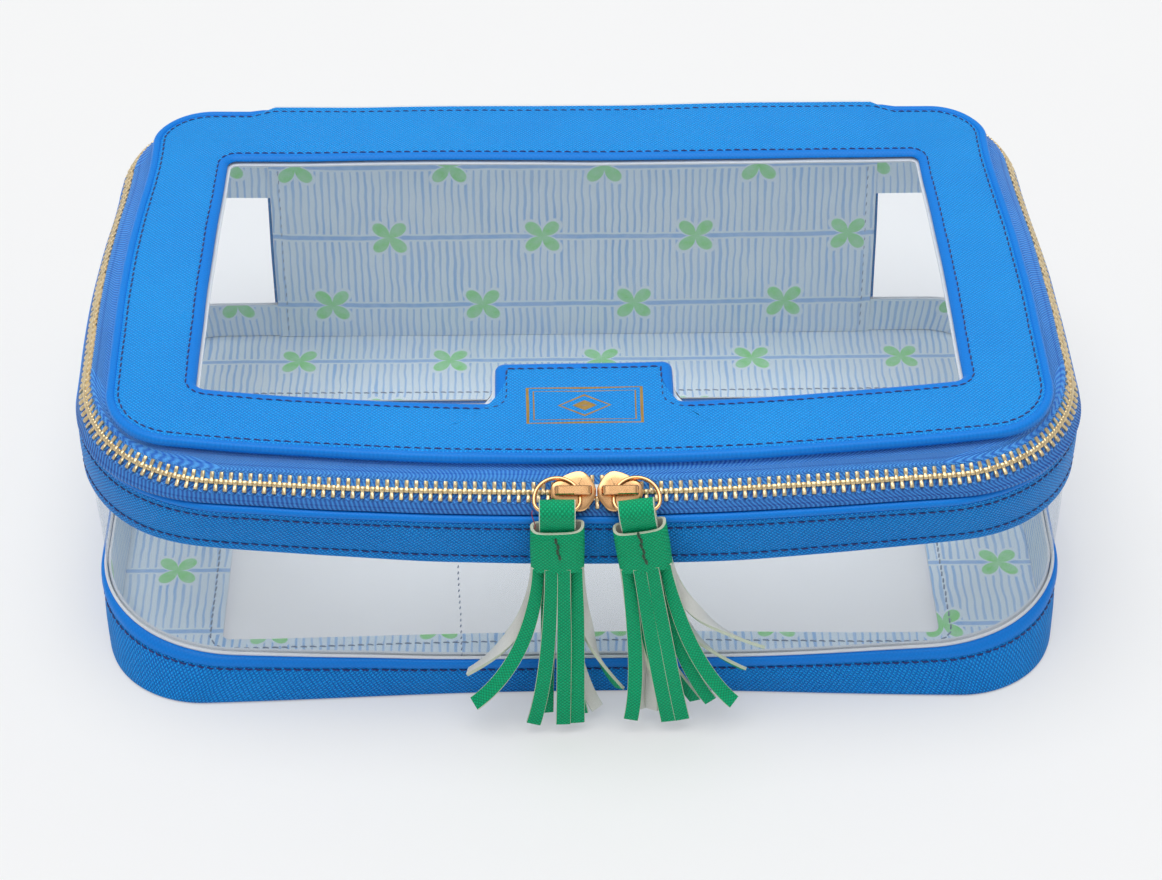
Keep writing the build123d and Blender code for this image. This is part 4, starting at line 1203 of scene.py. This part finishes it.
def ring(side):
    """A bent wire: a half circle above, and a flat foot with rounded corners."""
    a, b, r = (RING_LENGTH - RING_WIRE) / 2, TOP_REACH, RING_CORNER
    upper = arc(0, b - a, a, 0, 180, 40)[0]
    left = arc(r - a, r - b, r, 180, 270, 14)[0]
    foot = straight((r - a, -b), (a - r, -b), 8)[0]
    right = arc(a - r, r - b, r, 270, 360, 14)[0]
    path = np.concatenate([upper, left, foot, right])
    line = placed([ring_point(x, y) for x, y in path], side)
    normal = placed([ring_point(0, 0), (ring_point(0, 0)[0], ring_point(0, 0)[1] + math.sin(math.radians(RING_TILT)), ring_point(0, 0)[2] + math.cos(math.radians(RING_TILT)))], side)
    up = normal[1] - normal[0]
    wide = np.concatenate([line[-1:], line, line[:1]])
    along = np.gradient(wide, axis=0)[1:-1]
    along /= np.linalg.norm(along, axis=1, keepdims=True)
    out = np.cross(along, up)
    t = np.linspace(0, TAU, 12, endpoint=False)
    rows = line[:, None] + RING_WIRE / 2 * (np.cos(t)[None, :, None] * out[:, None] + np.sin(t)[None, :, None] * up)
    shape = Shape()
    shape.grid(rows, wrap=True, ring=True, caps=False)
    return shape


# ---- tassels, drawn about the middle of the ring's foot ----
def ring_foot(side):
    return placed([ring_point(0, -TOP_REACH)], side)[0]


def hung(points, side):
    """A tassel's own points, hung on its ring."""
    points = np.asarray(points, float)
    if side > 0:
        a = math.radians(-RIGHT_LEAN)
        x, z = points[..., 0], points[..., 2]
        points = np.stack([x * math.cos(a) + z * math.sin(a), points[..., 1], -x * math.sin(a) + z * math.cos(a)], -1)
    return ring_foot(side) + points


def leather_strip(shape, line, wide, width, thick, side, kinds=(0, 2, 1)):
    """A strip of leather along a line: wide is the direction across it, kinds are its face, back and cut edges."""
    line, wide = np.asarray(line, float), np.asarray(wide, float)
    along = np.gradient(line, axis=0)
    along /= np.linalg.norm(along, axis=1, keepdims=True)
    wide = wide - along * np.sum(wide * along, axis=1, keepdims=True)
    wide /= np.linalg.norm(wide, axis=1, keepdims=True)
    face = np.cross(along, wide)
    w, t = np.broadcast_to(width, len(line))[:, None] / 2, thick / 2
    e = 0.05
    corners = [(1, 1 - 2 * e), (1 - e, 1), (0, 1.06), (e - 1, 1), (-1, 1 - 2 * e), (-1, 2 * e - 1), (e - 1, -1), (0, -1), (1 - e, -1), (1, 2 * e - 1)]
    rows = np.stack([line + wide * w * a + face * t * b for a, b in corners])
    face_kind, back_kind, edge_kind = kinds
    order = [edge_kind, face_kind, face_kind, edge_kind, edge_kind, edge_kind, back_kind, back_kind, edge_kind, edge_kind]
    s = lengths(line)
    across = np.array([c[0] for c in corners] + [corners[0][0]]) * float(np.mean(width)) / 2
    shape.grid(hung(rows, side), wrap=True, kinds=order, u=s, v=across, cap_kind=edge_kind)


# Each strand: its layer (-1 front, 0 middle, 1 back), its place across the head, its end, and its twist in degrees.
LEFT_STRANDS = [
    (-1, -1.5, -24.7, -71.0, -30),
    (-1, -0.5, -7.4, -79.0, -4),
    (-1, 0.5, 1.4, -79.0, 3),
    (-1, 1.5, 5.6, -79.0, 6),
    (0, -0.8, -3.4, -76.5, 8),
    (0, 0.8, 7.0, -77.0, -8),
    (1, -1.5, -26.5, -62.5, -66),
    (1, -0.5, -4.5, -77.5, 10),
    (1, 0.5, 11.5, -78.0, 26),
    (1, 1.5, 18.3, -69.5, 122),
]
RIGHT_STRANDS = [
    (-1, -1.5, -11.9, -76.5, -6),
    (-1, -0.5, -1.0, -79.0, -3),
    (-1, 0.5, 3.2, -79.0, 2),
    (-1, 1.5, 18.9, -75.0, 30),
    (0, -0.8, -5.4, -76.0, 150),
    (0, 0.8, 12.1, -75.5, 12),
    (1, -1.5, -7.9, -77.0, 24),
    (1, -0.5, 7.6, -76.5, 160),
    (1, 0.5, 23.1, -66.5, 114),
    (1, 1.5, 29.6, -58.5, 106),
]


def bezier(points, count):
    """A curve led by its points."""
    points = np.asarray(points, float)
    n = len(points) - 1
    t = np.linspace(0, 1, count)[:, None]
    return sum(math.comb(n, i) * t**i * (1 - t) ** (n - i) * p for i, p in enumerate(points))


def strands(side, table):
    shape = Shape()
    dice = random.Random(side + 31)
    bottom = HEAD_TOP - HEAD_HEIGHT
    for layer, place, end_x, end_z, twist in table:
        x = place * STRAND_PITCH
        reach = (HEAD_THICKNESS - STRAND_THICKNESS) / 2 + 0.1
        curve = 1 - 0.45 * (abs(place) / 1.5) ** 2 if layer else 1
        y = HANG + layer * reach * (curve if layer else 0)
        end_y = HANG + layer * (reach - 0.4) + dice.uniform(-0.5, 0.5)
        drop = end_z - bottom
        side_step = end_x - x
        guide = [
            (x, y, bottom + 1.2),
            (x + 0.02 * side_step, y, bottom + 0.25 * drop),
            (x + 0.15 * side_step, y - 0.3, bottom + 0.55 * drop),
            (x + 0.5 * side_step, end_y, bottom + 0.82 * drop),
            (end_x, end_y, end_z),
        ]
        line = bezier(guide, 30)
        t = np.linspace(0, 1, 30)
        slope = math.radians(28) * (place / 1.5) * (layer if layer else 0) * (1 - smooth(t * 3))
        angle = slope + math.radians(twist) * smooth((t - 0.15) / 0.85)
        wide = np.stack([np.cos(angle), 0.8 * np.sin(angle), -0.6 * np.sin(angle)], -1)
        if layer > 0:
            wide = -wide
        width = STRAND_PITCH + (0.55 if layer < 0 else 0.1) * smooth(t * 2)
        leather_strip(shape, line, wide, width, STRAND_THICKNESS, side)
    return shape


def strap(side):
    """The strap: up from inside the head, over the ring's foot and down again."""
    centre, leg, foot = STRAP_THICKNESS / 2, 0.3 + STRAP_THICKNESS / 2, HEAD_TOP - STRAP_TUCK
    r = STRAP_FOLD + centre
    y = -LOOP_SHIFT
    turn = [(y - r * math.cos(t), LOOP_SHIFT + r * math.sin(t)) for t in np.linspace(0, math.pi, 17)]
    path = [(HANG - leg, foot), (HANG - leg, HEAD_TOP - 1.5), (HANG - leg - 0.3, HEAD_TOP + 0.8), (y - r, LOOP_FOOT)]
    path += turn + [(y + r, LOOP_FOOT), (HANG + leg + 0.3, HEAD_TOP + 0.8), (HANG + leg, HEAD_TOP - 1.5), (HANG + leg, foot)]
    line = smooth_rows([(0, a, b) for a, b in path], 70)
    wide = np.tile([1.0, 0, 0], (len(line), 1))
    shape = Shape()
    leather_strip(shape, line, -wide, STRAP_WIDTH, STRAP_THICKNESS, side)
    return shape


def head(side):
    """The wrap round the strap and the strands: a flattened tube with a cut edge above and below."""
    a = np.linspace(0, TAU, 64, endpoint=False)
    flat = (HEAD_WIDTH - HEAD_THICKNESS) / 2

    def ring_at(wall, z, droop):
        r = HEAD_THICKNESS / 2 - wall
        x = flat * np.tanh(3.2 * np.cos(a)) / math.tanh(3.2) + r * np.cos(a)
        y = r * np.sign(np.sin(a)) * abs(np.sin(a)) ** 0.8
        return np.c_[x, HANG + y * 1.02, np.full(64, z) + droop * (0.5 * np.cos(a) + 0.45 * np.cos(2 * a))]

    top, low = HEAD_TOP, HEAD_TOP - HEAD_HEIGHT
    levels = [(0.12, top, 0.9), (0, top - 0.15, 0.9), (-0.08, top - 3, 0.5), (-0.15, top - 7, 0), (-0.08, top - 11, 0), (0, low + 1.5, 0), (0, low, 0)]
    inner = [(HEAD_WALL, low, 0), (HEAD_WALL, low + 6, 0), (HEAD_WALL, top - 3, 0.5), (HEAD_WALL - 0.1, top - 0.1, 0.9)]
    rows = [ring_at(w, z, d) for w, z, d in levels + inner]
    shape = Shape()
    kinds = [1] + [0] * (len(levels) - 1) + [2] * (len(inner) - 1) + [1]
    shape.grid(hung(np.array(rows), side), wrap=True, ring=True, kinds=kinds, caps=False)
    stitches = Shape()
    front = HANG - HEAD_THICKNESS / 2 - 0.12
    lean = 0.9 if side < 0 else 0.6
    start, count = (2.2, 4) if side < 0 else (0.3, 6)
    for i in range(count):
        z = top - start - 2.0 * i
        x = -0.4 + lean * i / count + (0.25 if i % 2 else -0.1)
        line = [(x, front + 0.35, z + 0.3), (x, front, z), (x + 0.1, front - 0.1, z - 0.8), (x + 0.15, front, z - 1.5), (x + 0.2, front + 0.35, z - 1.8)]
        stitches.tube(hung(line, side), (0, -1, 0), np.array([0.2, 0.38, 0.44, 0.36, 0.2]), sides=6)
    return shape, stitches


def tassels():
    leather = [green_leather, cut_edge, suede]
    for name, side, table in (("left", -1, LEFT_STRANDS), ("right", 1, RIGHT_STRANDS)):
        body = f"{name}_tassel_body"
        middle = slider_frame(side)[0]
        make(f"{name}_strap_leather", strap(side), leather, body, [f"{name}_tassel_strap"], rigid=middle)
        wrap, stitches = head(side)
        make(f"{name}_head_leather", wrap, leather, body, [f"{name}_tassel_head"], rigid=middle)
        make(f"{name}_head_stitches", stitches, green_thread, body, rigid=middle)
        make(f"{name}_strands_leather", strands(side, table), leather, body, [f"{name}_tassel_strands"], rigid=middle)


def stray_thread():
    """A loose end of red thread at the left strap."""
    line = bezier([(-6.4, -2.0, -4.8), (-5.6, -2.6, -2.4), (-7.6, -2.9, -0.2), (-7.0, -2.8, 2.6)], 12)
    shape = Shape()
    shape.tube(hung(line, -1), (0, -1, 0), 0.14, sides=6)
    make("loose_thread", shape, red_thread, "left_tassel_body", rigid=slider_frame(-1)[0])


# ---- ornament on the lid's tab ----
def foil_ornament():
    """A plain double frame with a lozenge, in foil."""
    shape = Shape()
    z = LID_TOP_Z + 0.12
    middle_x, middle_y = TAB_OFFSET, -71.0

    def band(points, width):
        points = np.array(points, float)
        n = len(points)
        inner = middle_point + (points - middle_point) * (1 - width / np.linalg.norm(points - middle_point, axis=1, keepdims=True))
        rows = np.stack([np.c_[points, np.full(n, z)], np.c_[inner, np.full(n, z)], np.c_[inner, np.full(n, z - 0.1)], np.c_[points, np.full(n, z - 0.1)]])
        shape.grid(rows, wrap=True, ring=True, caps=False)

    middle_point = np.array([middle_x, middle_y])
    for half_w, half_h, width in ((17.0, 8.5, 0.9), (15.0, 6.8, 0.45)):
        corners = [(half_w, -half_h), (half_w, half_h), (-half_w, half_h), (-half_w, -half_h)]
        ring_points = []
        for (x0, y0), (x1, y1) in zip(corners, corners[1:] + corners[:1]):
            for t in np.linspace(0, 1, 12, endpoint=False):
                ring_points.append((middle_x + x0 + t * (x1 - x0), middle_y + y0 + t * (y1 - y0)))
        band(ring_points, width)
    for size, width in ((5.2, 0.8), (2.4, 2.3)):
        band([(middle_x + size * 1.5, middle_y), (middle_x, middle_y + size), (middle_x - size * 1.5, middle_y), (middle_x, middle_y - size)], width)
    make("tab_foil", shape, gold_foil, "lid")


# ---- boards ----
def boards():
    """The stiffening boards between the leather frames and their linings."""
    for name, outer, loop_at, z, body in (
        ("lid", lambda at: row(LID, RIM + 0.6, at), lid_window_loop, LID_LAYER_Z + PVC / 2, "lid"),
        ("base", lambda at: row(level(at), LAYER_DEPTH + 1, at), base_window_loop, BASE_LAYER_Z + PVC / 2, "tray"),
    ):
        shape = Shape()
        shape.sheet([outer(z), loop_at(WINDOW_OVERLAP + 0.6, z)], PVC - 0.1, ring=True)
        flat_places(shape)
        make(f"{name}_board_card", shape, card, body, [f"{name}_board"])


# ---- stage ----
CAMERA_AT, CAMERA_AIM = (-10.37, -752.75, 627.3), (0.86, -0.01, 60.0)
FOCAL_PIXELS, PICTURE_WIDTH, AIM_ABOVE_MIDDLE = 2986.97, 1162, 95.8
SENSOR = 36.0


def camera():
    data = bpy.data.cameras.new("camera")
    data.sensor_width, data.sensor_fit = SENSOR, "HORIZONTAL"
    data.lens = FOCAL_PIXELS / PICTURE_WIDTH * SENSOR
    data.shift_y = -AIM_ABOVE_MIDDLE / PICTURE_WIDTH
    data.clip_start, data.clip_end = 0.05, 30
    view = bpy.data.objects.new("camera", data)
    at, aim = (np.array(p) + SHIFT for p in (CAMERA_AT, CAMERA_AIM))
    view.location = at * MM
    view.rotation_euler = Vector(aim - at).to_track_quat("-Z", "Y").to_euler()
    bpy.context.scene.collection.objects.link(view)
    bpy.context.scene.camera = view


SKY, KEY, KEY_ANGLE, KEY_FROM, FLOOR_WHITE = 0.46, 1.55, 55, (-0.1, -0.08, 1.0), 0.35


def floor():
    size = 6.0
    mesh = bpy.data.meshes.new("floor")
    mesh.from_pydata([(-size, -size, 0), (size, -size, 0), (size, size, 0), (-size, size, 0)], [], [(0, 1, 2, 3)])
    p = Paint("floor_paper", Specular_IOR_Level=0.0)
    p.colour(p.mix(p.noise(40), rgb(245, 245, 245), rgb(246, 246, 246)))
    p.rough(p.noise(20) * 0.05 + 0.9)
    nodes, links = p.tree.nodes, p.tree.links
    path, plain_white, blend = (nodes.new(f"ShaderNode{kind}") for kind in ("LightPath", "Emission", "MixShader"))
    plain_white.inputs["Color"].default_value = rgb(245, 245, 245)
    links.new((Field(p.tree, path.outputs["Is Camera Ray"]) * FLOOR_WHITE).socket, blend.inputs[0])
    links.new(p.shader.outputs[0], blend.inputs[1])
    links.new(plain_white.outputs[0], blend.inputs[2])
    links.new(blend.outputs[0], nodes["Material Output"].inputs["Surface"])
    mesh.materials.append(p.material)
    piece = bpy.data.objects.new("floor", mesh)
    bpy.context.scene.collection.objects.link(piece)


def lights():
    world = bpy.data.worlds.new("studio")
    world.use_nodes = True
    bpy.context.scene.world = world
    nodes, links = world.node_tree.nodes, world.node_tree.links
    sky = nodes["Background"]
    where = nodes.new("ShaderNodeTexCoord")
    parts = nodes.new("ShaderNodeSeparateXYZ")
    links.new(where.outputs["Generated"], parts.inputs[0])
    height = Field(world.node_tree, parts.outputs[2])
    strength = (height * 0.9 + 0.25).math("MAXIMUM", 0.12).math("MINIMUM", 0.95)
    sky.inputs["Color"].default_value = (0.97, 0.985, 1.0, 1)
    backdrop = nodes.new("ShaderNodeBackground")
    backdrop.inputs["Color"].default_value = rgb(245, 245, 245)
    path = nodes.new("ShaderNodeLightPath")
    camera_ray, glossy, through = (
        Field(world.node_tree, path.outputs[f"Is {kind} Ray"]) for kind in ("Camera", "Glossy", "Transmission")
    )
    links.new((strength * SKY / 0.7).socket, sky.inputs["Strength"])
    dim, bright = (((height - low) * 5.0).math("ADD", 0.0, clamp=True) * 0.55 for low in (0.14, 0.62))
    links.new((bright - dim + 1.0).socket, backdrop.inputs["Strength"])
    mix = nodes.new("ShaderNodeMixShader")
    links.new(camera_ray.most(glossy).most(through).socket, mix.inputs[0])
    links.new(sky.outputs[0], mix.inputs[1])
    links.new(backdrop.outputs[0], mix.inputs[2])
    links.new(mix.outputs[0], nodes["World Output"].inputs["Surface"])
    data = bpy.data.lights.new("key", "SUN")
    data.energy, data.angle = KEY, math.radians(KEY_ANGLE)
    key = bpy.data.objects.new("key", data)
    key.rotation_euler = Vector(KEY_FROM).to_track_quat("Z", "Y").to_euler()
    bpy.context.scene.collection.objects.link(key)
    bpy.context.scene.view_settings.view_transform = "Standard"


camera()
floor()
lights()
lower_band()
upper_band()
piping()
lid_leather()
lid_binding()
lid_inside()
windows()
base_leather()
base_inside()
clear_wall()
band_linings()
lower_welt()
back_leather()
back_inside()
tapes()
teeth()
sliders()
tassels()
stray_thread()
foil_ornament()
boards()
